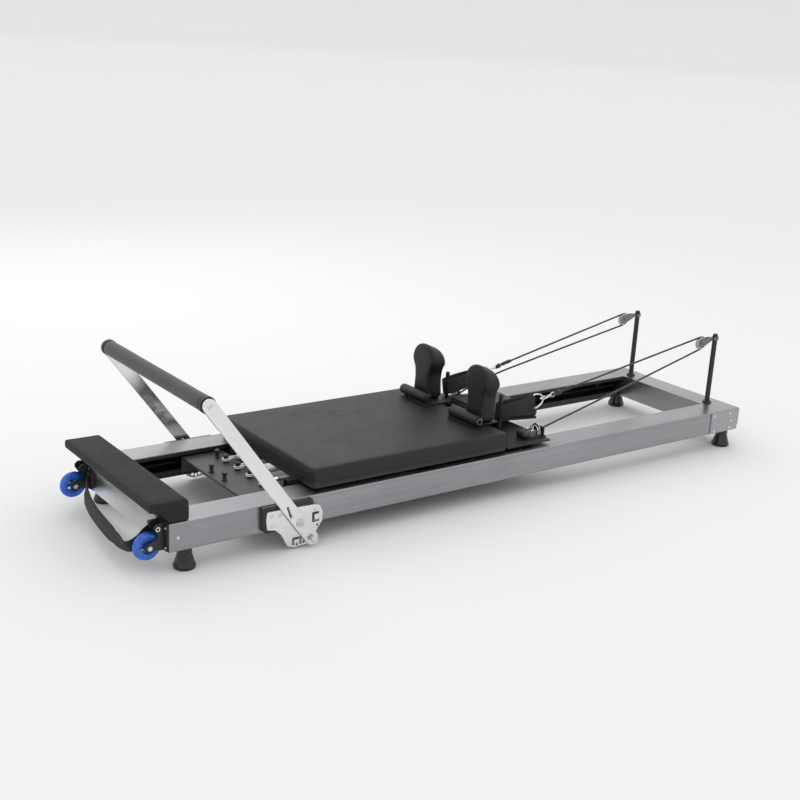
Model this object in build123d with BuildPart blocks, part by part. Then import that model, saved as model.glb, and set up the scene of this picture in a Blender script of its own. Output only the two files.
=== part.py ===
from build123d import *
import math
import os

os.makedirs("parts", exist_ok=True)

# A pilates reformer: an aluminium frame with a rolling carriage, a folding footbar, shoulder
# rests, a headrest and two rope-and-pulley lines. +X runs from the foot end to the head end,
# +Y to the far side and +Z up. The origin is on the floor under the middle of the whole.
# In the helpers, "along" is measured from the frame's foot end face and "rise" from the
# top of the rails.

# ---- Driving dimensions (mm) ----
frame_length = 2400.0
frame_width = 620.0
rail_height = 86.0
rail_flange = 100.0
foot_height = 66.0

wheel_radius = 42.0
wheel_along = -48.0
wheel_rise = -70.0
wheel_y = 267.0

pivot_along = 406.0
pivot_rise = -63.6
footbar_reach = 503.0
footbar_angle = 126.85  # from +X towards +Z, as it stands
footbar_fold = -33.0  # swing from there down towards the platform
footbar_forward = 38.0  # swing from there to upright
footbar_middle = 20.0  # swing to the lock hole between
lock_radius = 73.0

carriage_front = 478.0
carriage_rear = 1246.0
carriage_half_width = 295.0
pad_top = 74.0
deck_bottom = 10.0
carriage_travel = 800.0

post_along = 2336.0
post_y = 204.0
post_height = 275.0

fit = 0.05  # radial clearance of a shaft in its bore
gap = 0.3  # clearance between pieces that slide past each other

# ---- Values that follow from them ----
half_width = frame_width / 2
foot_end = -(frame_length + wheel_along - wheel_radius) / 2
rail_top = foot_height + rail_height
sides = (("near", -1), ("far", 1))


def at(along):
    """X of a place measured from the foot end face."""
    return foot_end + along


def up(rise):
    """Z of a height measured from the top of the rails."""
    return rail_top + rise


def side_plane(y):
    """Plane at y, drawn in X and Z, whose normal points to the near side."""
    return Plane.XZ.offset(-y)


def save(piece, name):
    piece.part.label = name
    export_step(piece.part, f"parts/{name}.step")


# ------------------------------------------------------------------ frame rails and beams
web = 6.0
inner_edge = half_width - rail_flange
bottom_edge = inner_edge + 12.0
ledge_top = -48.0 - gap
ledge_reach = 256.0
groove = 1.2
head_beam_depth = 100.0
foot_beam_depth = 40.0
lip_start = 62.0
lip_end = frame_length - head_beam_depth - 2.0

channel = [
    (half_width - 1.5, 0.0), (half_width, -1.5), (half_width, -8.0), (half_width - groove, -9.0),
    (half_width - groove, -11.0), (half_width, -12.0), (half_width, -rail_height + 1.5),
    (half_width - 1.5, -rail_height), (bottom_edge, -rail_height), (bottom_edge, -rail_height + web),
    (half_width - web, -rail_height + web), (half_width - web, -web), (inner_edge, -web), (inner_edge, 0.0),
]
# Lips and the running ledge: from-to across, from-to in height.
lips = [
    (inner_edge, inner_edge + 4.0, -14.0, -web),
    (bottom_edge, bottom_edge + 4.0, -rail_height + web, -64.0),
    (ledge_reach, half_width - web, ledge_top - 5.0, ledge_top),
]

foot_places = (60.0, 2350.0)
foot_y = 283.0
stud_radius = 5.0

bracket_bolt_places = [(318.0, -30.0), (344.0, -34.0), (322.0, -64.0), (466.0, -37.0)]
bracket_bolt_radius = 4.0
plate_screw_places = [(2258.0, -15.0), (2264.0, -74.0), (2347.0, -15.0), (2350.0, -72.0), (2357.0, -46.0)]
foot_screw_place = (26.0, -44.0)
screw_radius = 3.0


def rail_hole_places():
    bolts = [(at(a), up(r)) for a, r in bracket_bolt_places]
    screws = [(at(a), up(r)) for a, r in plate_screw_places + [foot_screw_place]]
    return bolts, screws


def make_rail(name, side):
    bolts, screws = rail_hole_places()
    with BuildPart() as rail:
        with BuildSketch(Plane.YZ.offset(foot_end)):
            with BuildLine():
                Polyline([(side * across, up(rise)) for across, rise in channel], close=True)
            make_face()
        extrude(amount=frame_length)
        with BuildSketch(Plane.YZ.offset(at(lip_start))):
            for near_edge, far_edge, low, high in lips:
                with Locations((side * (near_edge + far_edge) / 2, up((low + high) / 2))):
                    Rectangle(far_edge - near_edge, high - low)
        extrude(amount=lip_end - lip_start)
        with BuildSketch(side_plane(side * half_width)):
            with Locations(bolts):
                Circle(bracket_bolt_radius + gap)
            with Locations(screws):
                Circle(screw_radius + gap)
            with Locations((at(pivot_along), up(pivot_rise))):
                Circle(pivot_bolt_radius + gap)
        extrude(amount=web + 1, both=True, mode=Mode.SUBTRACT)
        with BuildSketch(Plane.XY.offset(foot_height)):
            with Locations([(at(a), side * foot_y) for a in foot_places]):
                Circle(stud_radius + gap)
        extrude(amount=web + 0.5, both=True, mode=Mode.SUBTRACT)
    save(rail, name)


beam_outline = [
    (inner_edge - gap, 0.0), (inner_edge - gap, -web - gap), (half_width - web - gap, -web - gap),
    (half_width - web - gap, -rail_height + web + gap), (bottom_edge - gap, -rail_height + web + gap),
    (bottom_edge - gap, -rail_height),
]
beam_wall = 4.0


def make_beam(name, start, depth):
    outline = [(y, up(rise)) for y, rise in beam_outline]
    mirrored = [(-y, z) for y, z in reversed(outline)]
    middle_rise = -rail_height / 2
    with BuildPart() as beam:
        with BuildSketch(Plane.YZ.offset(at(start))):
            with BuildLine():
                Polyline(outline + mirrored, close=True)
            make_face()
        extrude(amount=depth)
        with BuildSketch(Plane.YZ.offset(at(start + beam_wall))):
            with Locations((0, up(middle_rise))):
                Rectangle(frame_width, rail_height - 2 * (web + gap + beam_wall))
        extrude(amount=depth - 2 * beam_wall, mode=Mode.SUBTRACT)
        outer_edges = beam.edges().filter_by(Axis.Y).group_by(Axis.Z)[-1]
        fillet(outer_edges.sort_by(Axis.X)[0 if start == 0 else -1], 1.5)
    save(beam, name)


plate_thickness = 3.0
corner_plate_outline = [
    (2244.0, -2.0), (2400.0, -2.0), (2400.0, -64.0), (2376.0, -84.0), (2244.0, -84.0),
]


def make_corner_plates():
    _, screws = rail_hole_places()
    with BuildPart() as plates:
        for _, side in sides:
            with BuildSketch(side_plane(side * (half_width + plate_thickness / 2))):
                with BuildLine():
                    Polyline([(at(a), up(r)) for a, r in corner_plate_outline], close=True)
                make_face()
                with Locations(screws[:-1]):
                    Circle(screw_radius + gap, mode=Mode.SUBTRACT)
            extrude(amount=plate_thickness / 2, both=True)
    save(plates, "corner_plates")


screw_head_radius = 5.5
screw_head_height = 2.6


def frame_screws():
    """Button-head screws with hex sockets: five through each corner plate, one at each foot end."""
    _, screws = rail_hole_places()
    with BuildPart() as screws_part:
        for _, side in sides:
            for index, (x, z) in enumerate(screws):
                seat = half_width + (0 if index == len(screws) - 1 else plate_thickness)
                seat_plane = Plane((x, side * seat, z), x_dir=(1, 0, 0), z_dir=(0, side, 0))
                with BuildSketch(seat_plane):
                    Circle(screw_head_radius)
                extrude(amount=screw_head_height, taper=18)
                with BuildSketch(seat_plane.offset(screw_head_height)):
                    RegularPolygon(2.0, 6)
                extrude(amount=-1.4, mode=Mode.SUBTRACT)
                with BuildSketch(seat_plane):
                    Circle(screw_radius)
                extrude(amount=-(plate_thickness + web + 2))
    return screws_part.part


def make_feet():
    """Bell-shaped rubber feet, each moulded round a stud that screws into the rail."""
    with BuildPart() as feet:
        for along in foot_places:
            for _, side in sides:
                with BuildSketch(Plane((at(along), side * foot_y, 0), x_dir=(1, 0, 0), z_dir=(0, -1, 0))):
                    with BuildLine():
                        Polyline((0, 0), (30, 0), (32.5, 3), (33, 10), (32, 14), (30, 17))
                        Polyline((30, 17), (22.5, 42), (22, 46), (22, foot_height))
                        Line((22, foot_height), (stud_radius, foot_height))
                        Polyline(
                            (stud_radius, foot_height), (stud_radius, foot_height + web - 0.5),
                            (0, foot_height + web - 0.5), (0, 0),
                        )
                    make_face()
                revolve(axis=Axis((at(along), side * foot_y, 0), (0, 0, 1)))
    save(feet, "feet")


# ------------------------------------------------------------------ foot platform
platform_front = -58.0
platform_back = 64.0
platform_top = 67.0
platform_thick = 25.0
board_thick = 12.0


def make_platform():
    lower = platform_top - platform_thick
    with BuildPart() as cover:
        with BuildSketch(side_plane(0)):
            with BuildLine():
                Polyline(
                    (at(platform_front), up(lower)), (at(platform_front), up(platform_top)),
                    (at(platform_back), up(platform_top)), (at(platform_back), up(0)), (at(0), up(0)),
                    (at(0), up(lower)), close=True,
                )
            make_face()
        extrude(amount=half_width - 1, both=True)
        fillet(cover.edges().filter_by(Axis.Z).group_by(Axis.X)[0], 14)
        fillet(cover.edges().filter_by(Axis.Y).group_by(Axis.Z)[-1].sort_by(Axis.X)[-1], 18)
        fillet(cover.faces().sort_by(Axis.Z)[-1].edges().group_by(Axis.X)[0], 5)
        with BuildSketch(Plane.XY.offset(up(lower))):
            with Locations((at((platform_front + platform_back) / 2), 0)):
                Rectangle(platform_back - platform_front - 16, frame_width - 18)
        extrude(amount=board_thick + gap, mode=Mode.SUBTRACT)
    save(cover, "platform_cover")
    with BuildPart() as board:
        with BuildSketch(Plane.XY.offset(up(lower))):
            with Locations((at((platform_front + platform_back) / 2), 0)):
                Rectangle(platform_back - platform_front - 17, frame_width - 19)
        extrude(amount=board_thick)
    save(board, "platform_board")


# ------------------------------------------------------------------ spring plate and springs
spring_plate_start = 300.0
spring_plate_end = 446.0
spring_plate_top = -22.0
front_lip = 9.0
sheet = 3.0
spring_rows = (-126.0, -48.0, 30.0, 108.0)
spring_peg_along = 401.0
spare_pegs = [(398.0, 162.0), (319.0, 50.0), (321.0, -31.0)]
spring_rise = -9.0
spring_radius = 8.0
spring_hook_length = 46.0
anchor_bar_along = 1160.0


def make_spring_plate():
    plate_half = bottom_edge - gap
    middle = (spring_plate_start + spring_plate_end) / 2
    pegs = [(at(along), y) for along, y in [(spring_peg_along, y) for y in spring_rows] + spare_pegs]
    with BuildPart() as plate:
        with BuildSketch(Plane.XY.offset(up(spring_plate_top - sheet))):
            with Locations((at(middle), 0)):
                Rectangle(spring_plate_end - spring_plate_start, 2 * plate_half)
        extrude(amount=sheet)
        with BuildSketch(Plane.YZ.offset(at(spring_plate_start))):
            with Locations([(s * (plate_half - sheet / 2), up(spring_plate_top - 27.5)) for _, s in sides]):
                Rectangle(sheet, 55)
        extrude(amount=spring_plate_end - spring_plate_start)
        with BuildSketch(Plane.YZ.offset(at(spring_plate_start))):
            with Locations((0, up(spring_plate_top - front_lip / 2))):
                Rectangle(2 * plate_half, front_lip)
        extrude(amount=sheet)
        with BuildSketch(Plane.XY.offset(up(spring_plate_top))):
            with Locations(pegs):
                Circle(4 + gap)
        extrude(amount=-sheet - 1, mode=Mode.SUBTRACT)
    save(plate, "spring_plate")

    with BuildPart() as peg_group:
        for x, y in pegs:
            with BuildSketch(Plane((x, y, up(spring_plate_top)), x_dir=(1, 0, 0), z_dir=(0, -1, 0))):
                with BuildLine():
                    Polyline(
                        (0, 0), (9, 0), (9, 3), (6, 5), (6, 18), (9.5, 21), (9.5, 25), (7, 27.5), (0, 27.5),
                        close=True,
                    )
                make_face()
            revolve(axis=Axis((x, y, 0), (0, 0, 1)))
            with BuildSketch(Plane.XY.offset(up(spring_plate_top))):
                with Locations((x, y)):
                    Circle(4)
            extrude(amount=-sheet - 8)
            with BuildSketch(Plane.XY.offset(up(spring_plate_top - sheet))):
                with Locations((x, y)):
                    RegularPolygon(7, 6)
            extrude(amount=-6)
    save(peg_group, "spring_pegs")


def make_springs():
    """Tension springs as closed rods: the coil body, its front hook stem and its rear stem."""
    body_start = spring_peg_along + spring_hook_length
    with BuildPart() as springs:
        for y in spring_rows:
            with BuildSketch(Plane.YZ.offset(at(body_start))):
                with Locations((y, up(spring_rise))):
                    Circle(spring_radius)
            extrude(amount=anchor_bar_along - 26 - body_start)
            with BuildSketch(Plane.YZ.offset(at(spring_peg_along + 6.5))):
                with Locations((y, up(spring_rise - 3))):
                    Circle(2)
            extrude(amount=spring_hook_length - 5)
            with BuildSketch(Plane.YZ.offset(at(anchor_bar_along - 28))):
                with Locations((y, up(spring_rise))):
                    Circle(2)
            extrude(amount=28)
    save(springs, "springs")


# ------------------------------------------------------------------ footbar brackets
backing_thick = 14.0
selector_thick = 5.0
arm_inner = half_width + backing_thick + selector_thick + 6.0
arm_thick = 9.0
arm_half = 21.0
pivot_bolt_radius = 8.0
lock_pin_radius = 4.0
upper_slot_angle = 2.0

selector_outline = [
    (301.0, -16.0), (298.0, -42.0), (302.0, -72.0), (330.0, -78.0), (350.0, -96.0), (372.0, -136.0),
    (394.0, -146.0), (446.0, -142.0), (464.0, -130.0), (474.0, -102.0), (491.0, -78.0), (492.0, -50.0),
    (482.0, -27.0), (464.0, -21.0), (352.0, -17.0),
]
backing_outline = [
    (288.0, -3.0), (459.0, -3.0), (462.0, -26.0), (478.0, -32.0), (478.0, -60.0), (452.0, -84.0),
    (300.0, -84.0), (290.0, -76.0),
]


def on_circle(radius, degrees):
    """A place round the footbar pivot, measured like footbar_angle."""
    turn = math.radians(degrees)
    return (at(pivot_along) + radius * math.cos(turn), up(pivot_rise) + radius * math.sin(turn))


lock_swings = (footbar_fold, 0.0, footbar_middle, footbar_forward)


def lock_place(swing):
    """Where the lock pin meets the plate when the footbar has swung forward by that much."""
    return on_circle(lock_radius, footbar_angle - 180 - swing)


relief_width = 8.0


def relief_slot(middle):
    """The three sides of a slot that frees a spring tongue round a lock hole."""
    inner = 55.0
    outer = 75.0
    spread = 13.0
    return [
        on_circle(outer, middle - spread * inner / outer), on_circle(inner, middle - spread),
        on_circle(inner, middle + spread), on_circle(outer, middle + spread * inner / outer),
    ]


def make_brackets():
    bolts, _ = rail_hole_places()
    pivot = (at(pivot_along), up(pivot_rise))
    with BuildPart() as backing:
        for _, side in sides:
            with BuildSketch(side_plane(side * (half_width + backing_thick / 2))) as outline:
                with BuildLine():
                    Polyline([(at(a), up(r)) for a, r in backing_outline], close=True)
                make_face()
                fillet(outline.vertices(), 3.5)
                with Locations(bolts):
                    Circle(bracket_bolt_radius + gap, mode=Mode.SUBTRACT)
                with Locations(pivot):
                    Circle(pivot_bolt_radius + gap, mode=Mode.SUBTRACT)
            extrude(amount=backing_thick / 2, both=True)
    save(backing, "backing_plates")

    with BuildPart() as selector:
        for _, side in sides:
            middle_y = half_width + backing_thick + selector_thick / 2
            with BuildSketch(side_plane(side * middle_y)) as outline:
                with BuildLine():
                    Polyline([(at(a), up(r)) for a, r in selector_outline], close=True)
                make_face()
                fillet(outline.vertices(), 6)
                with Locations(bolts):
                    Circle(bracket_bolt_radius + gap, mode=Mode.SUBTRACT)
                with Locations(pivot):
                    Circle(pivot_bolt_radius + gap, mode=Mode.SUBTRACT)
                with Locations([lock_place(swing) for swing in lock_swings]):
                    Circle(lock_pin_radius + gap, mode=Mode.SUBTRACT)
                for middle in (footbar_angle - 180 - footbar_forward, upper_slot_angle):
                    with BuildLine():
                        Polyline(relief_slot(middle))
                    trace(line_width=relief_width, mode=Mode.SUBTRACT)
            extrude(amount=selector_thick / 2, both=True)
    save(selector, "selector_plates")


def bracket_bolts():
    """Socket-head bolts that hold both plates to the rail, with a nut inside the channel."""
    bolts, _ = rail_hole_places()
    with BuildPart() as bolts_part:
        for _, side in sides:
            for x, z in bolts:
                seat = half_width + backing_thick + selector_thick
                seat_plane = Plane((x, side * seat, z), x_dir=(1, 0, 0), z_dir=(0, side, 0))
                with BuildSketch(seat_plane):
                    Circle(bracket_bolt_radius)
                extrude(amount=-(backing_thick + selector_thick + web + 8))
                with BuildSketch(seat_plane):
                    Circle(6)
                extrude(amount=2.6, taper=25)
                with BuildSketch(seat_plane.offset(2.6)):
                    RegularPolygon(2.4, 6)
                extrude(amount=-1.6, mode=Mode.SUBTRACT)
                with BuildSketch(seat_plane.offset(-(backing_thick + selector_thick + web))):
                    RegularPolygon(7, 6)
                extrude(amount=-6)
    return bolts_part.part


def make_frame_bolts():
    with BuildPart() as bolts:
        add(frame_screws())
        add(bracket_bolts())
    save(bolts, "frame_bolts")


def make_pivot_bolts():
    """The two bolts that the footbar turns on: a flanged head outside, a nut inside the channel."""
    outer = arm_inner + arm_thick
    with BuildPart() as bolt_group:
        for _, side in sides:
            head_plane = Plane(
                (at(pivot_along), side * (outer + gap), up(pivot_rise)), x_dir=(1, 0, 0), z_dir=(0, side, 0)
            )
            with BuildSketch(head_plane):
                Circle(pivot_bolt_radius)
            extrude(amount=-(outer + gap - half_width + web + 10))
            with BuildSketch(head_plane):
                Circle(14.5)
            extrude(amount=3, taper=20)
            with BuildSketch(head_plane.offset(3)):
                Circle(8.5)
            extrude(amount=3, taper=15)
            with BuildSketch(head_plane.offset(6)):
                RegularPolygon(4.5, 6)
            extrude(amount=-4, mode=Mode.SUBTRACT)
            with BuildSketch(side_plane(side * (half_width - web - 4.5))):
                with Locations((at(pivot_along), up(pivot_rise))):
                    RegularPolygon(11.6, 6)
            extrude(amount=4.5, both=True)
            with BuildSketch(side_plane(side * (arm_inner - gap - 1.5))):
                with Locations((at(pivot_along), up(pivot_rise))):
                    Circle(15)
            extrude(amount=1.5, both=True)
    save(bolt_group, "pivot_bolts")


# ------------------------------------------------------------------ footbar
grip_cap_thick = 15.0
foam_end = arm_inner - grip_cap_thick
foam_radius = 24.0
grip_tube_radius = 15.0
tail_reach = lock_radius
slot_middle = 54.0
slot_offset = 7.0
slot_length = 42.0
slot_width = 9.0
slot_turn = -15.5


def arm_plane(y):
    """Plane at y with its origin on the footbar pivot and its X along the arm to the grip."""
    turn = math.radians(footbar_angle)
    return Plane(
        (at(pivot_along), y, up(pivot_rise)), x_dir=(math.cos(turn), 0, math.sin(turn)), z_dir=(0, -1, 0)
    )


def make_footbar_arm(name, side):
    length = footbar_reach + tail_reach
    with BuildPart() as arm:
        with BuildSketch(arm_plane(side * (arm_inner + arm_thick / 2))):
            with Locations(((footbar_reach - tail_reach) / 2, 0)):
                SlotCenterToCenter(length, 2 * arm_half)
            Circle(pivot_bolt_radius + fit, mode=Mode.SUBTRACT)
            with Locations((-tail_reach, 0)):
                Circle(lock_pin_radius + fit, mode=Mode.SUBTRACT)
            with Locations((footbar_reach, 0)):
                Circle(4 + gap, mode=Mode.SUBTRACT)
            with Locations(Location((slot_middle, slot_offset, 0), slot_turn)):
                SlotOverall(slot_length, slot_width, mode=Mode.SUBTRACT)
        extrude(amount=arm_thick / 2, both=True)
        rims = arm.faces().filter_by(Axis.Y).edges().filter_by(GeomType.CIRCLE)
        chamfer(rims.group_by(SortBy.RADIUS)[-1], 0.8)
    save(arm, name)


def make_grip():
    grip_x, grip_z = on_circle(footbar_reach, footbar_angle)
    grip_plane = Plane((grip_x, 0, grip_z), x_dir=(1, 0, 0), z_dir=(0, -1, 0))
    with BuildPart() as tube:
        with BuildSketch(grip_plane):
            Circle(grip_tube_radius)
            Circle(grip_tube_radius - 2.5, mode=Mode.SUBTRACT)
        extrude(amount=foam_end, both=True)
    save(tube, "grip_tube")
    with BuildPart() as foam:
        with BuildSketch(grip_plane):
            Circle(foam_radius)
            Circle(grip_tube_radius + gap, mode=Mode.SUBTRACT)
        extrude(amount=foam_end, both=True)
    save(foam, "grip_foam")
    with BuildPart() as caps:
        for _, side in sides:
            cap_plane = Plane((grip_x, side * foam_end, grip_z), x_dir=(1, 0, 0), z_dir=(0, side, 0))
            with BuildSketch(cap_plane):
                Circle(foam_radius + 1)
                Circle(4 + gap, mode=Mode.SUBTRACT)
            extrude(amount=grip_cap_thick)
        fillet(caps.edges().filter_by(GeomType.CIRCLE).group_by(SortBy.RADIUS)[-1], 2)
    save(caps, "grip_caps")
    with BuildPart() as bolt_group:
        for _, side in sides:
            head_plane = Plane(
                (grip_x, side * (arm_inner + arm_thick), grip_z), x_dir=(1, 0, 0), z_dir=(0, side, 0)
            )
            with BuildSketch(head_plane):
                Circle(4)
            extrude(amount=-(arm_thick + grip_cap_thick + 14))
            with BuildSketch(head_plane):
                Circle(9)
            extrude(amount=3.5, taper=30)
            with BuildSketch(head_plane.offset(3.5)):
                RegularPolygon(3, 6)
            extrude(amount=-2.5, mode=Mode.SUBTRACT)
    save(bolt_group, "grip_bolts")


lock_travel = 9.0


def make_lock_plunger(name, side):
    """A pull knob on a pin: drawn out here, pushed in by lock_travel it enters the selector plate."""
    tip_y = half_width + backing_thick + selector_thick + 0.8
    knob_y = arm_inner + arm_thick + lock_travel + 1
    x, z = lock_place(0)
    pin_plane = Plane((x, side * tip_y, z), x_dir=(1, 0, 0), z_dir=(0, side, 0))
    knob_plane = Plane((x, side * knob_y, z), x_dir=(1, 0, 0), z_dir=(0, side, 0))
    with BuildPart() as plunger:
        with BuildSketch(pin_plane):
            Circle(lock_pin_radius)
        extrude(amount=knob_y - tip_y + 4)
        with BuildSketch(knob_plane):
            Circle(10.5)
        extrude(amount=7)
        fillet(plunger.edges().filter_by(GeomType.CIRCLE).group_by(SortBy.RADIUS)[-1], 1.8)
        chamfer(plunger.edges().group_by(Axis.Y)[0 if side > 0 else -1], 0.8)
    save(plunger, name)


# ------------------------------------------------------------------ transport wheels
tyre_half = 12.0
hub_radius = 25.0
axle_radius = 4.0
fork_inner = 15.5
fork_sheet = 4.0
fork_outline = [
    (-fork_sheet, -2.0), (-24.0, -2.0), (-34.0, -10.0), (-34.0, -20.0), (-22.0, -38.0), (-24.0, -48.0),
    (-46.0, -55.0), (-60.0, -62.0), (-62.0, -76.0), (-52.0, -84.0), (-30.0, -80.0), (-fork_sheet, -84.0),
]
fork_bolts = [(spread * 29.0, rise) for spread in (-1, 1) for rise in (-15.0, -75.0)]
fork_plate_half = 35.5
fork_ring_place = (-24.0, -17.0)


def wheel_plane(side, offset=0.0):
    return Plane(
        (at(wheel_along), side * (wheel_y + offset), up(wheel_rise)), x_dir=(1, 0, 0), z_dir=(0, side, 0)
    )


def make_wheel(name_tyre, name_hub, side):
    with BuildPart() as tyre:
        across = Plane((at(wheel_along), side * wheel_y, up(wheel_rise)), x_dir=(0, 1, 0), z_dir=(1, 0, 0))
        with BuildSketch(across):
            with BuildLine():
                Polyline(
                    (-tyre_half + 1, hub_radius + gap), (-tyre_half, hub_radius + 4),
                    (-tyre_half + 1, wheel_radius - 12),
                )
                ThreePointArc(
                    (-tyre_half + 1, wheel_radius - 12), (0, wheel_radius),
                    (tyre_half - 1, wheel_radius - 12),
                )
                Polyline(
                    (tyre_half - 1, wheel_radius - 12), (tyre_half, hub_radius + 4),
                    (tyre_half - 1, hub_radius + gap), (-tyre_half + 1, hub_radius + gap),
                )
            make_face()
        revolve(axis=Axis((at(wheel_along), 0, up(wheel_rise)), (0, 1, 0)))
    save(tyre, name_tyre)
    with BuildPart() as hub:
        with BuildSketch(wheel_plane(side)):
            Circle(hub_radius)
            Circle(hub_radius - 4, mode=Mode.SUBTRACT)
        extrude(amount=tyre_half - 1, both=True)
        with BuildSketch(wheel_plane(side)):
            Circle(hub_radius - 3)
            Circle(11, mode=Mode.SUBTRACT)
            with PolarLocations(16.5, 5):
                Circle(4.2, mode=Mode.SUBTRACT)
        extrude(amount=3, both=True)
        with BuildSketch(wheel_plane(side)):
            Circle(12)
            Circle(axle_radius + fit, mode=Mode.SUBTRACT)
        extrude(amount=tyre_half + 1, both=True)
    save(hub, name_hub)


def make_wheel_forks():
    with BuildPart() as forks:
        for _, side in sides:
            for offset in (-fork_inner - fork_sheet / 2, fork_inner + fork_sheet / 2):
                with BuildSketch(side_plane(side * (wheel_y + offset))) as cheek:
                    with BuildLine():
                        Polyline([(at(a), up(r)) for a, r in fork_outline], close=True)
                    make_face()
                    fillet(cheek.vertices().sort_by(Axis.X)[:-2], 3.5)
                    with Locations((at(wheel_along), up(wheel_rise))):
                        Circle(axle_radius + gap, mode=Mode.SUBTRACT)
                extrude(amount=fork_sheet / 2, both=True)
            with BuildSketch(Plane.YZ.offset(at(-fork_sheet))):
                with Locations((side * wheel_y, up(-rail_height / 2))):
                    RectangleRounded(2 * fork_plate_half, rail_height - 2, 5)
                with Locations([(side * wheel_y + offset_y, up(rise)) for offset_y, rise in fork_bolts]):
                    Circle(3 + gap, mode=Mode.SUBTRACT)
            extrude(amount=fork_sheet)
    save(forks, "wheel_forks")


def make_wheel_bolts():
    """Axle bolts with their nuts, and the bolts that hold each fork to the end beam."""
    reach = fork_inner + fork_sheet
    with BuildPart() as bolt_group:
        for _, side in sides:
            with BuildSketch(wheel_plane(side)):
                Circle(axle_radius)
            extrude(amount=reach + 5, both=True)
            with BuildSketch(wheel_plane(side, reach)):
                RegularPolygon(7.5, 6)
            extrude(amount=4)
            with BuildSketch(wheel_plane(side, -reach)):
                RegularPolygon(7.5, 6)
            extrude(amount=-5)
            for offset_y, rise in fork_bolts:
                seat_start = (at(-fork_sheet), side * wheel_y + offset_y, up(rise))
                with BuildSketch(Plane(seat_start, x_dir=(0, 1, 0), z_dir=(-1, 0, 0))):
                    RegularPolygon(4.5, 6)
                extrude(amount=3.4)
            ring_along, ring_rise = fork_ring_place
            ring_start = (at(ring_along), side * (wheel_y + reach), up(ring_rise))
            with BuildSketch(Plane(ring_start, x_dir=(1, 0, 0), z_dir=(0, side, 0))):
                Circle(7)
                Circle(4, mode=Mode.SUBTRACT)
            extrude(amount=3)
    save(bolt_group, "wheel_bolts")


# ------------------------------------------------------------------ carry strap
strap_width = 38.0
strap_thick = 5.0
strap_lean = 22.0
strap_rise = -41.0
strap_anchor_y = 216.0
# It hangs slack, further out on the near side: out along its own plane, and across.
strap_route = [
    (-8.0, 216.0), (-26.0, 215.0), (-57.0, 155.0), (-77.0, 78.0), (-88.0, 0.0), (-97.0, -100.0),
    (-101.0, -190.0), (-99.0, -239.0), (-60.0, -238.0), (-28.0, -217.0), (-8.0, -216.0),
]
strap_radii = [14, 100, 200, 300, 300, 200, 26, 30, 16]


def make_carry_strap():
    lean = math.radians(strap_lean)
    plane = Plane(
        (foot_end, 0, up(strap_rise)),
        x_dir=(math.cos(lean), 0, math.sin(lean)), z_dir=(-math.sin(lean), 0, math.cos(lean)),
    )
    with BuildPart() as strap:
        with BuildSketch(plane):
            with BuildLine():
                FilletPolyline(strap_route, radius=strap_radii)
            trace(line_width=strap_thick)
        extrude(amount=strap_width / 2, both=True)
    save(strap, "carry_strap")
    with BuildPart() as anchors:
        for _, side in sides:
            with BuildSketch(Plane.YZ.offset(at(-16.5))):
                with Locations((side * strap_anchor_y, up(strap_rise - 4))):
                    RectangleRounded(26, 50, 4)
            extrude(amount=16.5)
            with BuildSketch(plane):
                with Locations((-13, side * strap_anchor_y)):
                    Rectangle(28, strap_thick + 7)
            extrude(amount=strap_width / 2 + gap, both=True, mode=Mode.SUBTRACT)
    save(anchors, "strap_anchors")


# ------------------------------------------------------------------ posts and pulleys
post_radius = 9.5
pulley_along = 2256.0
pulley_rise = 247.0
sheave_radius = 24.0
sheave_half = 4.8
groove_radius = 19.3
eye_along = 2306.0
eye_rise = 258.0
pulley_pin_radius = 3.5


def make_posts():
    with BuildPart() as posts:
        for _, side in sides:
            with BuildSketch(Plane.XY.offset(up(0))):
                with Locations((at(post_along), side * post_y)):
                    Circle(post_radius)
            extrude(amount=post_height)
        fillet(posts.edges().group_by(Axis.Z)[-1], 4)
        for _, side in sides:
            with BuildSketch(Plane.XY.offset(up(0))):
                with Locations((at(post_along), side * post_y)):
                    Circle(17)
                    Circle(post_radius + gap, mode=Mode.SUBTRACT)
            extrude(amount=7)
        collar_rims = posts.edges().filter_by(GeomType.CIRCLE).group_by(SortBy.RADIUS)[-1]
        fillet(collar_rims.group_by(Axis.Z)[-1], 2.5)
    save(posts, "posts")
    with BuildPart() as eyes:
        for _, side in sides:
            with BuildSketch(Plane.XY.offset(up(eye_rise - 6))):
                with Locations((at(post_along), side * post_y)):
                    Circle(post_radius + 4)
                    Circle(post_radius + 0.1, mode=Mode.SUBTRACT)
            extrude(amount=12)
            with BuildSketch(side_plane(side * post_y)):
                with Locations((at((eye_along + post_along - post_radius - 2) / 2), up(eye_rise))):
                    Rectangle(post_along - post_radius - 2 - eye_along, 6)
                with Locations((at(eye_along), up(eye_rise))):
                    Circle(8)
                with Locations((at(eye_along), up(eye_rise))):
                    Circle(3.8, mode=Mode.SUBTRACT)
            extrude(amount=2.2, both=True)
    save(eyes, "pulley_eyes")


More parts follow.
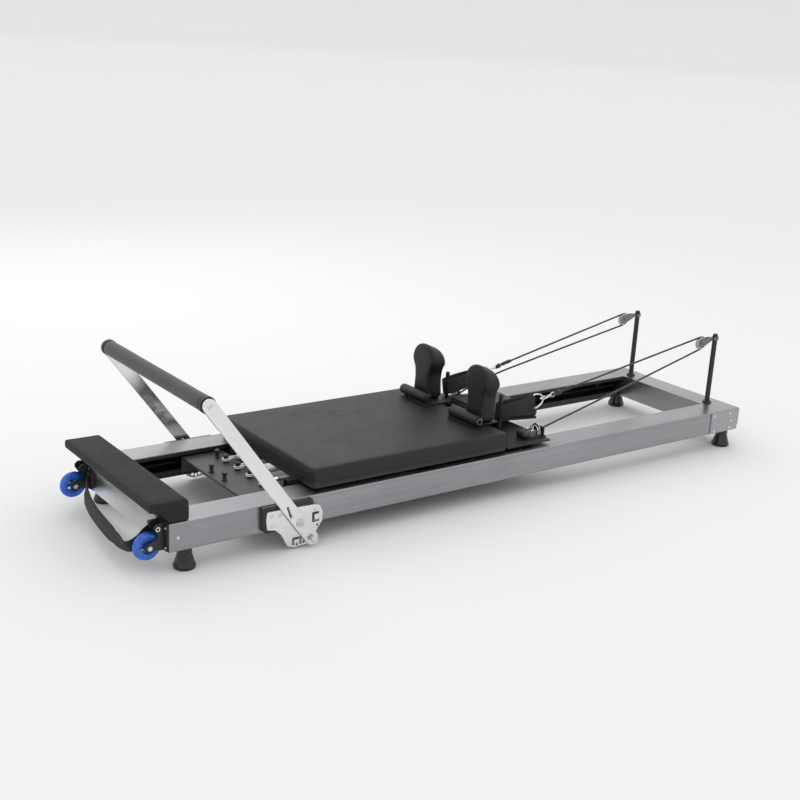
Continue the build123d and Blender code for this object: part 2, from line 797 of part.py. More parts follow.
def make_pulleys():
    centre = (at(pulley_along), up(pulley_rise))
    eye = (at(eye_along), up(eye_rise))
    with BuildPart() as blocks:
        for _, side in sides:
            for offset in (-7.0, 7.0):
                with BuildSketch(side_plane(side * post_y + offset)):
                    with Locations(centre):
                        Circle(17.5)
                    with Locations(eye):
                        Circle(6.5)
                    make_hull()
                extrude(amount=1.25, both=True)
            with BuildSketch(side_plane(side * post_y)):
                with Locations(centre):
                    Circle(pulley_pin_radius)
                with Locations(eye):
                    Circle(3.2)
            extrude(amount=10.5, both=True)
    save(blocks, "pulley_blocks")
    for name, side in sides:
        centre = Vector(at(pulley_along), side * post_y, up(pulley_rise))
        bore = pulley_pin_radius + fit
        with BuildPart() as sheave:
            with BuildSketch(Plane(centre, x_dir=(0, 1, 0), z_dir=(1, 0, 0))):
                with BuildLine():
                    Polyline(
                        (-sheave_half, sheave_radius), (-sheave_half, bore),
                        (sheave_half, bore), (sheave_half, sheave_radius),
                    )
                    ThreePointArc(
                        (sheave_half, sheave_radius), (0, groove_radius), (-sheave_half, sheave_radius)
                    )
                make_face()
            revolve(axis=Axis(centre, (0, 1, 0)))
        save(sheave, f"sheave_{name}")


# ------------------------------------------------------------------ carriage
frame_rail_inner = 168.0
frame_rail_outer = 194.0
frame_front = 450.0
frame_rear = 1440.0
roller_alongs = (560.0, 1380.0)
roller_radius = 16.0
roller_rise = -32.0
roller_inner = 264.0
roller_outer = 290.0
roller_axle_radius = 5.0
rear_plate_top = 16.0


def make_carriage_frame():
    side_length = frame_rear - frame_front
    with BuildPart() as body:
        with BuildSketch(Plane.YZ.offset(at(frame_front))):
            for _, side in sides:
                with Locations((side * (frame_rail_inner + frame_rail_outer) / 2, up(deck_bottom / 2 - 21))):
                    Rectangle(frame_rail_outer - frame_rail_inner, deck_bottom + 42)
                with Locations((side * (frame_rail_inner + frame_rail_outer) / 2, up(deck_bottom / 2 - 21))):
                    Rectangle(frame_rail_outer - frame_rail_inner - 6, deck_bottom + 36, mode=Mode.SUBTRACT)
        extrude(amount=side_length)
        with BuildSketch(Plane.XY.offset(up(0))):
            for along, width in ((510, 40), (780, 40), (1050, 40)):
                with Locations((at(along), 0)):
                    Rectangle(width, 2 * frame_rail_inner + 2)
        extrude(amount=deck_bottom)
        with BuildSketch(Plane.YZ.offset(at(anchor_bar_along))):
            with Locations((0, up(-8))):
                Rectangle(2 * frame_rail_inner + 2, 36)
        extrude(amount=10)
        with BuildSketch(Plane.XY.offset(up(deck_bottom))):
            with Locations((at((carriage_rear + 0.5 + frame_rear) / 2), 0)):
                Rectangle(frame_rear - carriage_rear - 0.5, 2 * 286)
        extrude(amount=rear_plate_top - deck_bottom)
        with BuildSketch(Plane.YZ.offset(at(frame_rear - 4))):
            with Locations((0, up(-8))):
                Rectangle(2 * frame_rail_inner + 2, 46)
        extrude(amount=4)
        for along in roller_alongs:
            for _, side in sides:
                axle_start = (at(along), side * (frame_rail_outer - 4), up(roller_rise))
                axle_plane = Plane(axle_start, x_dir=(1, 0, 0), z_dir=(0, side, 0))
                with BuildSketch(axle_plane):
                    Circle(roller_axle_radius)
                extrude(amount=roller_outer + 3 - frame_rail_outer + 4)
                with BuildSketch(axle_plane):
                    Circle(9)
                extrude(amount=roller_inner - gap - frame_rail_outer + 4)
    save(body, "carriage_frame")


def make_rollers():
    for along, end in zip(roller_alongs, ("front", "rear")):
        for name, side in sides:
            with BuildPart() as roller:
                plane = Plane(
                    (at(along), side * (roller_inner + roller_outer) / 2, up(roller_rise)),
                    x_dir=(1, 0, 0), z_dir=(0, side, 0),
                )
                with BuildSketch(plane):
                    Circle(roller_radius)
                    Circle(roller_axle_radius + fit, mode=Mode.SUBTRACT)
                extrude(amount=(roller_outer - roller_inner) / 2, both=True)
                rims = roller.edges().filter_by(GeomType.CIRCLE).group_by(SortBy.RADIUS)[-1]
                chamfer(rims, 1.2)
                with BuildSketch(plane.offset((roller_outer - roller_inner) / 2)):
                    Circle(12)
                    Circle(8, mode=Mode.SUBTRACT)
                extrude(amount=-2, mode=Mode.SUBTRACT)
            save(roller, f"roller_{end}_{name}")


def make_glides():
    """Low-friction blocks that keep the carriage square between the rail lips."""
    with BuildPart() as glides:
        for along in (600.0, 1330.0):
            for _, side in sides:
                with BuildSketch(Plane.XY.offset(up(-13))):
                    with Locations((at(along), side * (frame_rail_outer + inner_edge - 0.6) / 2)):
                        RectangleRounded(60, inner_edge - 0.6 - frame_rail_outer, 4)
                extrude(amount=12)
    save(glides, "side_glides")


def make_rail_stops():
    """Rubber blocks on the running ledges that end the carriage's travel."""
    stop_length = 22.0
    first = roller_alongs[0] - roller_radius - 0.5 - stop_length / 2
    last = roller_alongs[1] + roller_radius + carriage_travel + 0.5 + stop_length / 2
    with BuildPart() as stops:
        for along in (first, last):
            for _, side in sides:
                with BuildSketch(Plane.XY.offset(up(ledge_top))):
                    with Locations((at(along), side * (roller_inner + roller_outer) / 2)):
                        RectangleRounded(stop_length, roller_outer - roller_inner, 3)
                extrude(amount=30)
    save(stops, "rail_stops")


def make_carriage_top():
    middle = at((carriage_front + carriage_rear) / 2)
    length = carriage_rear - carriage_front
    deck_top = 28.0
    with BuildPart() as deck:
        with BuildSketch(Plane.XY.offset(up(deck_bottom))):
            with Locations((middle, 0)):
                RectangleRounded(length - 8, 2 * carriage_half_width - 8, 14)
        extrude(amount=deck_top - deck_bottom)
    save(deck, "carriage_deck")
    with BuildPart() as pad:
        with BuildSketch(Plane.XY.offset(up(deck_bottom))):
            with Locations((middle, 0)):
                RectangleRounded(length, 2 * carriage_half_width, 18)
        extrude(amount=pad_top - deck_bottom)
        fillet(pad.faces().sort_by(Axis.Z)[-1].edges(), 8)
        with BuildSketch(Plane.XY.offset(up(deck_bottom))):
            with Locations((middle, 0)):
                RectangleRounded(length - 8 + 2 * gap, 2 * carriage_half_width - 8 + 2 * gap, 14 + gap)
        extrude(amount=deck_top - deck_bottom + gap, mode=Mode.SUBTRACT)
    save(pad, "carriage_pad")


# ------------------------------------------------------------------ shoulder rests
roll_along = 1174.0
roll_radius = 18.0
tube_radius = 9.0
rest_plate_thick = 4.0
roll_rise = pad_top + 0.2 + rest_plate_thick + roll_radius + gap
rest_plate_middle = 1220.0
rest_plate_length = 112.0
rest_plate_y = 127.0
rest_plate_width = 138.0
roll_span = (68.0, 218.0)
rest_front = 1202.0
rest_back = 1264.0
rest_y = 150.0
rest_bottom = 84.0
rest_top_front = 277.0
rest_top_back = 253.0
peg_along = 1322.0
peg_radius = 7.5
peg_top = 156.0


shoulder_foot = 49.0
shoulder_waist = 45.0
# Half width and rise: the foot's side, then the flare that runs into the round head.
shoulder_side = [(shoulder_foot, rest_bottom), (shoulder_waist, 150.0)]
shoulder_flare = [(shoulder_waist, 150.0), (49.3, 181.0), (62.0, 209.0)]


def make_shoulder_pad(name, side):
    """An upright pad, wide and round at the top and waisted below, its top sloping to the head end."""
    with BuildPart() as pad:
        with BuildSketch(Plane.YZ.offset(at(rest_front))):
            with BuildLine():
                for mirror in (-1, 1):
                    Polyline([(side * rest_y + mirror * y, up(rise)) for y, rise in shoulder_side])
                    ThreePointArc([(side * rest_y + mirror * y, up(rise)) for y, rise in shoulder_flare])
                foot_near = (side * rest_y - shoulder_foot, up(rest_bottom))
                Line(foot_near, (side * rest_y + shoulder_foot, up(rest_bottom)))
                join_y, join_rise = shoulder_flare[-1]
                ThreePointArc(
                    (side * rest_y - join_y, up(join_rise)), (side * rest_y, up(rest_top_front)),
                    (side * rest_y + join_y, up(join_rise)),
                )
            make_face()
        extrude(amount=rest_back - rest_front)
        with BuildSketch(side_plane(side * rest_y)):
            with BuildLine():
                Polyline(
                    (at(rest_front + 16), up(rest_top_front + 30)),
                    (at(rest_front + 16), up(rest_top_front + 1)),
                    (at(rest_back + 5), up(rest_top_back - 6)),
                    (at(rest_back + 5), up(rest_top_front + 30)),
                    close=True,
                )
            make_face()
        extrude(amount=60, both=True, mode=Mode.SUBTRACT)
    save(pad, name)


def make_rest_rolls():
    """Padded rolls lying across the carriage, each an open tube in a sleeve of foam."""
    with BuildPart() as rolls:
        for _, side in sides:
            inner, outer = roll_span
            start = (at(roll_along), side * inner, up(roll_rise))
            with BuildSketch(Plane(start, x_dir=(1, 0, 0), z_dir=(0, side, 0))):
                Circle(roll_radius)
                Circle(tube_radius + gap, mode=Mode.SUBTRACT)
            extrude(amount=outer - inner)
    save(rolls, "rest_rolls")


def rest_angles():
    """Steel angles that carry each shoulder rest, and the tube that each roll is slid on to."""
    lug_y = roll_span[0] - 4
    with BuildPart() as angles:
        for _, side in sides:
            with BuildSketch(Plane.XY.offset(up(pad_top + 0.2))):
                with Locations((at(rest_plate_middle), side * rest_plate_y)):
                    RectangleRounded(rest_plate_length, rest_plate_width, 4)
            extrude(amount=rest_plate_thick)
            with BuildSketch(Plane.YZ.offset(at(rest_back + 1))):
                with Locations((side * rest_y, up(pad_top + 50))):
                    RectangleRounded(44, 99, 6)
            extrude(amount=4)
            with BuildSketch(side_plane(side * lug_y)):
                with Locations((at(roll_along), up(roll_rise))):
                    Circle(tube_radius + 2)
                with Locations((at(roll_along), up((pad_top + roll_rise) / 2 + 1))):
                    Rectangle(2 * tube_radius, roll_rise - pad_top - 2)
            extrude(amount=2, both=True)
            start = (at(roll_along), side * lug_y, up(roll_rise))
            with BuildSketch(Plane(start, x_dir=(1, 0, 0), z_dir=(0, side, 0))):
                Circle(tube_radius)
                Circle(tube_radius - 2, mode=Mode.SUBTRACT)
            extrude(amount=roll_span[1] + 1 - lug_y)
    return angles.part


def loop_pegs():
    """Round posts on the carriage's rear plate that the loops hang on."""
    with BuildPart() as pegs:
        for _, side in sides:
            with BuildSketch(Plane.XY.offset(up(rear_plate_top))):
                with Locations((at(peg_along), side * rest_y)):
                    Circle(peg_radius)
            peg = extrude(amount=peg_top - rear_plate_top)
            fillet(peg.edges().group_by(Axis.Z)[-1], 5)
            with BuildSketch(Plane.XY.offset(up(rear_plate_top))):
                with Locations((at(peg_along), side * rest_y)):
                    Circle(14)
            extrude(amount=5)
    return pegs.part


def make_rest_brackets():
    with BuildPart() as brackets:
        add(rest_angles())
        add(loop_pegs())
    save(brackets, "rest_brackets")


# ------------------------------------------------------------------ headrest
headrest_hinge_along = 1272.0
headrest_hinge_rise = 60.0
headrest_start = 1292.0
headrest_end = 1542.0
headrest_half = 118.0
headrest_thick = 34.0
headrest_tilt = 5.0
hinge_half = 56.0
hinge_pin_radius = 6.0
headrest_stop_along = 1420.0


def headrest_plane():
    """Plane through the hinge axis, tipped down towards the head end like the headrest."""
    turn = math.radians(headrest_tilt)
    return Plane(
        (at(headrest_hinge_along), 0, up(headrest_hinge_rise)),
        x_dir=(math.cos(turn), 0, -math.sin(turn)), z_dir=(0, -1, 0),
    )


def make_headrest():
    start = headrest_start - headrest_hinge_along
    length = headrest_end - headrest_start
    board_top = -3.0
    board_thick_here = 9.0
    with BuildPart() as plate:
        with BuildSketch(headrest_plane()):
            with Locations((start + length / 2 - 4, board_top - board_thick_here / 2)):
                Rectangle(length - 16, board_thick_here)
        extrude(amount=headrest_half - 6, both=True)
        with BuildSketch(headrest_plane()):
            Circle(11)
            with Locations((start / 2 + 6, board_top - board_thick_here / 2)):
                Rectangle(start + 12, board_thick_here)
            Circle(hinge_pin_radius + fit, mode=Mode.SUBTRACT)
        extrude(amount=hinge_half, both=True)
    save(plate, "headrest_plate")
    with BuildPart() as pad:
        with BuildSketch(headrest_plane()):
            with Locations((start + length / 2, board_top + gap + headrest_thick / 2)):
                Rectangle(length, headrest_thick)
        extrude(amount=headrest_half, both=True)
        uprights = pad.edges().filter_by(Axis.Y, reverse=True).filter_by(GeomType.LINE)
        fillet(uprights.group_by(SortBy.LENGTH)[0], 14)
        fillet(pad.faces().sort_by(Axis.Z)[-1].edges(), 9)
    save(pad, "headrest_pad")
    with BuildPart() as bracket:
        add(headrest_hinge())
        add(headrest_stop())
    save(bracket, "headrest_bracket")


def headrest_hinge():
    """The hinge pin and the two ears that carry it on the rear plate."""
    with BuildPart() as hinge:
        with BuildSketch(side_plane(0)):
            with Locations((at(headrest_hinge_along), up(headrest_hinge_rise))):
                Circle(hinge_pin_radius)
        extrude(amount=hinge_half + 12, both=True)
        for _, side in sides:
            with BuildSketch(side_plane(side * (hinge_half + 5))):
                with Locations((at(headrest_hinge_along), up(headrest_hinge_rise))):
                    Circle(11)
                with Locations((at(headrest_hinge_along), up((headrest_hinge_rise + rear_plate_top) / 2))):
                    Rectangle(22, headrest_hinge_rise - rear_plate_top)
            extrude(amount=3, both=True)
        with BuildSketch(Plane.XY.offset(up(rear_plate_top))):
            with Locations((at(headrest_hinge_along + 4), 0)):
                Rectangle(34, 2 * hinge_half + 16)
        extrude(amount=3)
    return hinge.part


def headrest_stop():
    """Rubber block on the rear plate that the lowered headrest lies on."""
    turn = math.radians(headrest_tilt)
    reach = headrest_stop_along - headrest_hinge_along
    top = headrest_hinge_rise - 12.0 - reach * math.tan(turn) - 1.5
    with BuildPart() as stop:
        with BuildSketch(Plane.XY.offset(up(rear_plate_top))):
            with Locations((at(headrest_stop_along), 0)):
                RectangleRounded(24, 80, 5)
        extrude(amount=top - rear_plate_top)
    return stop.part


# ------------------------------------------------------------------ loops, hooks and ropes
loop_thick = 4.0
loop_half_height = 27.0
rope_radius = 3.5
wrap_radius = 23.4
line_ends = {
    # D-ring end of the loop and rope end of the hook: along, across and rise
    "near": ((1474.0, -150.0, 106.0), (1588.0, -156.0, 129.5)),
    "far": ((1474.0, 150.0, 128.0), (1568.0, 157.0, 147.5)),
}
peg_middle = {"near": 96.0, "far": 103.0}
sleeve_spans = {"near": (1600.0, 1652.0), "far": (1574.0, 1626.0)}
# Each rope from its cleat, out along the lower line, round the pulley and back to the hook.
rope_routes = {
    "near": [
        (1446.0, -228.0, 36.0), (1545.0, -225.0, 58.0), (1813.0, -215.0, 117.0),
        (2274.5, -204.0, 227.4), (2282.3, -204.0, 252.9), (2264.2, -204.0, 272.7),
        (1800.0, -172.0, 174.4), (1588.0, -156.0, 129.5),
    ],
    "far": [
        (1446.0, 228.0, 36.0), (1540.0, 222.0, 80.0), (1813.0, 213.0, 136.5), (2273.7, 204.0, 226.6),
        (2282.5, 204.0, 252.0), (2265.1, 204.0, 272.4), (1790.0, 172.0, 187.3), (1568.0, 157.0, 147.5),
    ],
}


def route_points(route):
    return [Vector(at(along), across, up(rise)) for along, across, rise in route]


def route_radii(points):
    """Each corner's arc: the sheave's radius on the wrap, and as large as its runs allow elsewhere."""
    radii = []
    for before, here, after in zip(points, points[1:], points[2:]):
        turn = (here - before).get_angle(after - here)
        shorter = min((here - before).length, (after - here).length)
        if turn > 20:
            radii.append(wrap_radius)
        else:
            radii.append(0.45 * shorter / math.tan(math.radians(turn) / 2))
    return radii


def make_rope(name):
    points = route_points(rope_routes[name])
    radii = route_radii(points)
    with BuildPart() as rope:
        with BuildLine() as path:
            FilletPolyline(points, radius=radii)
        with BuildSketch(Plane(path.line @ 0, z_dir=path.line % 0)):
            Circle(rope_radius)
        sweep()
    length = sum(edge.length for edge in path.line.edges())
    share = rope.part.volume / (math.pi * rope_radius ** 2 * length)
    print(f"rope_{name}: length {length:.0f}, volume share {share:.4f}, radii {[round(r) for r in radii]}")
    save(rope, f"rope_{name}")


sleeve_radius = 6.5
sleeve_clearance = 1.2


def make_sleeves():
    """Stiff sheaths on the ropes above the hooks."""
    with BuildPart() as sleeves:
        for name, _ in sides:
            start, end = route_points(rope_routes[name])[6:8]
            low, high = sleeve_spans[name]
            direction = (start - end).normalized()
            low_point = end + direction * ((at(low) - end.X) / direction.X + 6)
            length = min((high - low) / direction.X, (start - end).length - 14)
            with BuildSketch(Plane(low_point, z_dir=direction)):
                Circle(sleeve_radius)
                Circle(rope_radius + sleeve_clearance, mode=Mode.SUBTRACT)
            extrude(amount=length)
    save(sleeves, "rope_sleeves")


def line_plane(name, distance=0.0, flat=False):
    """Plane on the line from a loop's end to the rope, drawn along it and upwards, or flat along it."""
    start = Vector(*line_ends[name][0])
    end = Vector(*line_ends[name][1])
    direction = (end - start).normalized()
    place = start + direction * distance
    sideways = direction.cross(Vector(0, 0, 1)).normalized()
    normal = sideways if not flat else sideways.cross(direction) * -1
    origin = (at(place.X), place.Y, up(place.Z))
    return Plane(origin, x_dir=(direction.X, direction.Y, direction.Z), z_dir=(normal.X, normal.Y, normal.Z))


def make_loop(name, side):
    """A closed band of webbing round its peg, its two runs meeting at the D-ring."""
    end_along, _, end_rise = line_ends[name][0]
    start_rise = peg_middle[name]
    lean = math.atan2(end_rise - start_rise, end_along - peg_along)
    plane = Plane(
        (at(peg_along), side * rest_y, up(start_rise)),
        x_dir=(math.cos(lean), 0, math.sin(lean)), z_dir=(-math.sin(lean), 0, math.cos(lean)),
    )
    reach = (end_along - peg_along) / math.cos(lean)
    back = -peg_radius - 6.0
    half_route = [(reach, 5.0), (reach - 40, 9.0), (50.0, 19.0), (2.0, 16.5), (back, 11.0)]
    route = half_route + [(x, -y) for x, y in reversed(half_route)]
    with BuildPart() as loop:
        with BuildSketch(plane):
            with BuildLine():
                FilletPolyline(route, radius=[60, 60, 40, 9, 9, 40, 60, 60])
            trace(line_width=loop_thick)
        extrude(amount=loop_half_height, both=True)
    save(loop, f"loop_{name}")


ring_half = 30.0
ring_reach = 42.0
ring_wire = 5.0
hook_wire = 4.4
hook_length = 38.0
hook_width = 17.0
hook_middle = 50.0
swivel_start = hook_middle + hook_length / 2 - 1.0
swivel_length = 13.0


def make_hooks():
    """A D-ring through each loop's end, and a snap hook from it to the rope."""
    with BuildPart() as hooks:
        for name, _ in sides:
            with BuildSketch(line_plane(name, -2)) as ring:
                with BuildLine():
                    Line((0, -ring_half), (0, ring_half))
                    ThreePointArc((0, ring_half), (ring_reach, 0), (0, -ring_half))
                make_face()
                fillet(ring.vertices(), 5)
                offset(ring.sketch, amount=-ring_wire, mode=Mode.SUBTRACT)
            extrude(amount=ring_wire / 2, both=True)
            length = (Vector(*line_ends[name][1]) - Vector(*line_ends[name][0])).length
            with BuildSketch(line_plane(name, flat=True)):
                with Locations((hook_middle, 0)):
                    SlotOverall(hook_length, hook_width)
                    SlotOverall(hook_length - 2 * hook_wire, hook_width - 2 * hook_wire, mode=Mode.SUBTRACT)
            extrude(amount=hook_wire / 2, both=True)
            swivel = line_plane(name, swivel_start)
            with BuildSketch(Plane(swivel.origin, z_dir=swivel.x_dir)):
                Circle(4.6)
            extrude(amount=swivel_length)
            with BuildSketch(Plane(swivel.origin + swivel.x_dir * (swivel_length - 1), z_dir=swivel.x_dir)):
                Circle(2.4)
            extrude(amount=length - swivel_start - swivel_length + 1 - 2 * gap)
    save(hooks, "line_hooks")


def make_cleats():
    """Cam cleats that set each rope's length, on a base plate that is bolted to the carriage."""
    with BuildPart() as bases:
        for _, side in sides:
            with BuildSketch(Plane.XY.offset(up(rear_plate_top))):
                with Locations((at(1400), side * 232)):
                    RectangleRounded(92, 56, 6)
            extrude(amount=4)
            with BuildSketch(Plane.YZ.offset(at(1432))):
                with Locations((side * 232, up(rear_plate_top + 18))):
                    RectangleRounded(50, 34, 6)
                with Locations((side * 228, up(rear_plate_top + 20))):
                    Circle(rope_radius + 1.5, mode=Mode.SUBTRACT)
            extrude(amount=4)
    save(bases, "cleat_bases")
    with BuildPart() as cams:
        for _, side in sides:
            for offset_y in (-12.0, 12.0):
                with BuildSketch(Plane.XY.offset(up(rear_plate_top + 4.2))):
                    with Locations((at(1392), side * 230 + offset_y)):
                        Ellipse(20, 7.5)
                extrude(amount=20)
    save(cams, "cleat_cams")


# ------------------------------------------------------------------ build everything
for side_name, side_sign in sides:
    make_rail(f"rail_{side_name}", side_sign)
    make_footbar_arm(f"footbar_arm_{side_name}", side_sign)
    make_lock_plunger(f"lock_plunger_{side_name}", side_sign)
    make_wheel(f"wheel_tyre_{side_name}", f"wheel_hub_{side_name}", side_sign)
    make_shoulder_pad(f"shoulder_pad_{side_name}", side_sign)
    make_loop(side_name, side_sign)
    make_rope(side_name)
make_beam("foot_beam", 0.0, foot_beam_depth)
make_beam("head_beam", frame_length - head_beam_depth, head_beam_depth)
make_corner_plates()
make_feet()
make_platform()
make_spring_plate()
make_springs()
make_brackets()
make_frame_bolts()
make_pivot_bolts()
make_grip()
make_wheel_forks()
make_wheel_bolts()
make_carry_strap()
make_posts()
make_pulleys()
make_carriage_frame()
make_rollers()
make_glides()
make_rail_stops()
make_carriage_top()
make_rest_rolls()
make_rest_brackets()
make_headrest()
make_sleeves()
make_hooks()
make_cleats()
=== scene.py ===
import math

import bpy
import numpy as np
from mathutils import Matrix, Vector


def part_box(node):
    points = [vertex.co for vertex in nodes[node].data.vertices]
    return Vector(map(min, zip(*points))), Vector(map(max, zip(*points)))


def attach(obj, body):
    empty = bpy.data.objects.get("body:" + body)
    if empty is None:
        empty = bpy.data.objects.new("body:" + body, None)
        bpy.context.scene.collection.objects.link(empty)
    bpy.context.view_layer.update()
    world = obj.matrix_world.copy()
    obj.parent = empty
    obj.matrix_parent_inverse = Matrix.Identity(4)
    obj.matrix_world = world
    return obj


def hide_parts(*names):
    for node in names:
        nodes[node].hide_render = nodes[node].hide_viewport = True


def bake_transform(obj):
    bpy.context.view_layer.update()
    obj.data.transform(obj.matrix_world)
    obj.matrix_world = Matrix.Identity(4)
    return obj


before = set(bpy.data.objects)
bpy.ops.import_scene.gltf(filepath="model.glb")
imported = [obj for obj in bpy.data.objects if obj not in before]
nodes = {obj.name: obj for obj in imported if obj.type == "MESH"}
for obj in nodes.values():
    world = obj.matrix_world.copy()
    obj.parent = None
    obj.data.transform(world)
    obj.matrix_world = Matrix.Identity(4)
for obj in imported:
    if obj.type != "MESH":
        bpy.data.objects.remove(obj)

scene = bpy.context.scene
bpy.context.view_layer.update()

FOOT_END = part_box("rail_near")[0].x
RAIL_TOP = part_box("rail_near")[1].z
SIDES = (("near", -1), ("far", 1))
# The rails' inner channel is painted near-black from here inwards, as painted shade.
INNER_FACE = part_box("rail_far")[1].y - 0.0055


def at(along):
    """X of a place that many millimetres from the frame's foot end."""
    return FOOT_END + along / 1000


def up(rise):
    """Z of a place that many millimetres above the rails' tops."""
    return RAIL_TOP + rise / 1000


# ------------------------------------------------------------------ camera, light and floor
CAMERA_PLACE = (FOOT_END - 1.4213, -3.2496, RAIL_TOP + 1.3951)
CAMERA_DEGREES = (36.71, 17.26, 3.23)  # yaw from +Y, pitch down, roll
LENS_MM = 56.56


def make_camera():
    yaw, pitch, roll = (math.radians(a) for a in CAMERA_DEGREES)
    forward = Vector((math.sin(yaw) * math.cos(pitch), math.cos(yaw) * math.cos(pitch), -math.sin(pitch)))
    level_right = Vector((math.cos(yaw), -math.sin(yaw), 0))
    level_up = level_right.cross(forward)
    right = level_right * math.cos(roll) + level_up * math.sin(roll)
    above = level_up * math.cos(roll) - level_right * math.sin(roll)
    data = bpy.data.cameras.new("camera")
    data.lens = LENS_MM
    data.sensor_width = 36
    data.clip_end = 200
    camera = bpy.data.objects.new("camera", data)
    turn = Matrix((right, above, -forward)).transposed().to_4x4()
    camera.matrix_world = Matrix.Translation(CAMERA_PLACE) @ turn
    scene.collection.objects.link(camera)
    scene.camera = camera


def make_floor():
    """A pale floor that runs a long way out and curves up into a backdrop all round."""
    rings = [(0.0, 0.0), (6.0, 0.0), (20.0, 0.0), (45.0, 0.0)]
    rings += [(45 + 5 * math.sin(t), 5 - 5 * math.cos(t)) for t in np.linspace(0.2, math.pi / 2, 8)]
    rings += [(50.0, 9.0)]
    count = 48
    verts = [(0.0, 0.0, 0.0)]
    for radius, height in rings[1:]:
        for i in range(count):
            a = 2 * math.pi * i / count
            verts.append((radius * math.cos(a), radius * math.sin(a), height))
    faces = [(0, 1 + i, 1 + (i + 1) % count) for i in range(count)]
    for k in range(len(rings) - 2):
        a, b = 1 + k * count, 1 + (k + 1) * count
        faces += [(a + i, b + i, b + (i + 1) % count, a + (i + 1) % count) for i in range(count)]
    mesh = bpy.data.meshes.new("floor")
    mesh.from_pydata(verts, [], faces)
    for polygon in mesh.polygons:
        polygon.use_smooth = True
    floor = bpy.data.objects.new("floor", mesh)
    scene.collection.objects.link(floor)
    look = Look("floor", (0.83, 0.83, 0.83), 0.9)
    tone = look.noise(look.coords(), 0.6, 2)
    look.colour(look.mix(tone, (0.805, 0.805, 0.805), (0.82, 0.82, 0.82)))
    mesh.materials.append(look.material)


def make_lights():
    world = bpy.data.worlds.new("studio")
    world.use_nodes = True
    tree = world.node_tree
    background = tree.nodes["Background"]
    background.inputs["Color"].default_value = (1.0, 1.0, 1.0, 1.0)
    background.inputs["Strength"].default_value = 1.03
    scene.world = world
    for name, place, size, power in (
        ("overhead", (1.4, 0.6, 4.4), 4.5, 11.0),
        ("beyond", (-0.2, 3.6, 3.0), 2.6, 24.0),
        ("front", (-4.6, -2.2, 2.6), 2.4, 7.0),
    ):
        data = bpy.data.lights.new(name, "AREA")
        data.shape = "SQUARE"
        data.size = size
        data.energy = power
        light = bpy.data.objects.new(name, data)
        light.location = place
        light.rotation_mode = "QUATERNION"
        light.rotation_quaternion = (Vector((0, 0, 0.1)) - Vector(place)).to_track_quat("-Z", "Y")
        scene.collection.objects.link(light)


# ------------------------------------------------------------------ materials
class Look:
    """A material and short calls that add nodes to it."""

    def __init__(self, name, colour, roughness, metallic=0.0, **settings):
        self.material = bpy.data.materials.new(name)
        self.material.use_nodes = True
        self.material.diffuse_color = (*colour, 1)
        self.tree = self.material.node_tree
        self.shader = self.tree.nodes["Principled BSDF"]
        self.shader.inputs["Base Color"].default_value = (*colour, 1)
        self.shader.inputs["Roughness"].default_value = roughness
        self.shader.inputs["Metallic"].default_value = metallic
        for key, value in settings.items():
            self.shader.inputs[key.replace("_", " ")].default_value = value

    def add(self, kind, inputs=(), **settings):
        node = self.tree.nodes.new("ShaderNode" + kind)
        for key, value in settings.items():
            setattr(node, key, value)
        for key, value in dict(inputs).items():
            if isinstance(value, bpy.types.NodeSocket):
                self.tree.links.new(value, node.inputs[key])
            else:
                node.inputs[key].default_value = value
        return node

    def coords(self, scale=(1, 1, 1), turn=(0, 0, 0), kind="Object"):
        source = self.add("TexCoord").outputs[kind]
        turned = self.add("Mapping", {"Vector": source, "Rotation": turn})
        return self.add("Mapping", {"Vector": turned.outputs["Vector"], "Scale": scale}).outputs["Vector"]

    def noise(self, vector, scale, detail=3, rough=0.5):
        node = self.add("TexNoise", {"Vector": vector, "Scale": scale, "Detail": detail, "Roughness": rough})
        return node.outputs["Fac"]

    def cells(self, vector, scale, feature="DISTANCE_TO_EDGE"):
        node = self.add("TexVoronoi", feature=feature)
        self.tree.links.new(vector, node.inputs["Vector"])
        node.inputs["Scale"].default_value = scale
        return node.outputs["Distance"]

    def wave(self, vector, scale, direction, distortion=0.0):
        inputs = {"Vector": vector, "Scale": scale, "Distortion": distortion}
        return self.add("TexWave", inputs, bands_direction=direction).outputs["Fac"]

    def math(self, operation, a, b=0.5):
        return self.add("Math", {0: a, 1: b}, operation=operation).outputs["Value"]

    def span(self, value, low, high, to_low, to_high):
        """value from low to high becomes to_low to to_high, and stays inside them."""
        reach = {"From Min": low, "From Max": high, "To Min": to_low, "To Max": to_high}
        return self.add("MapRange", {"Value": value, **reach}).outputs["Result"]

    def mix(self, share, a, b):
        node = self.add("Mix", data_type="RGBA")
        for socket, value in ((node.inputs[0], share), (node.inputs[6], a), (node.inputs[7], b)):
            if isinstance(value, bpy.types.NodeSocket):
                self.tree.links.new(value, socket)
            elif isinstance(value, tuple):
                socket.default_value = (*value, 1)
            else:
                socket.default_value = value
        return node.outputs[2]

    def bump(self, height, distance, strength=1.0, under=None):
        inputs = {"Height": height, "Distance": distance, "Strength": strength}
        if under is not None:
            inputs["Normal"] = under
        return self.add("Bump", inputs).outputs["Normal"]

    def colour(self, socket):
        self.tree.links.new(socket, self.shader.inputs["Base Color"])

    def roughness(self, socket):
        self.tree.links.new(socket, self.shader.inputs["Roughness"])

    def normal(self, socket):
        self.tree.links.new(socket, self.shader.inputs["Normal"])


def paler(colour, times, plus):
    return tuple(min(1.0, c * times + plus) for c in colour)


def darker(colour, times):
    return tuple(c * times for c in colour)


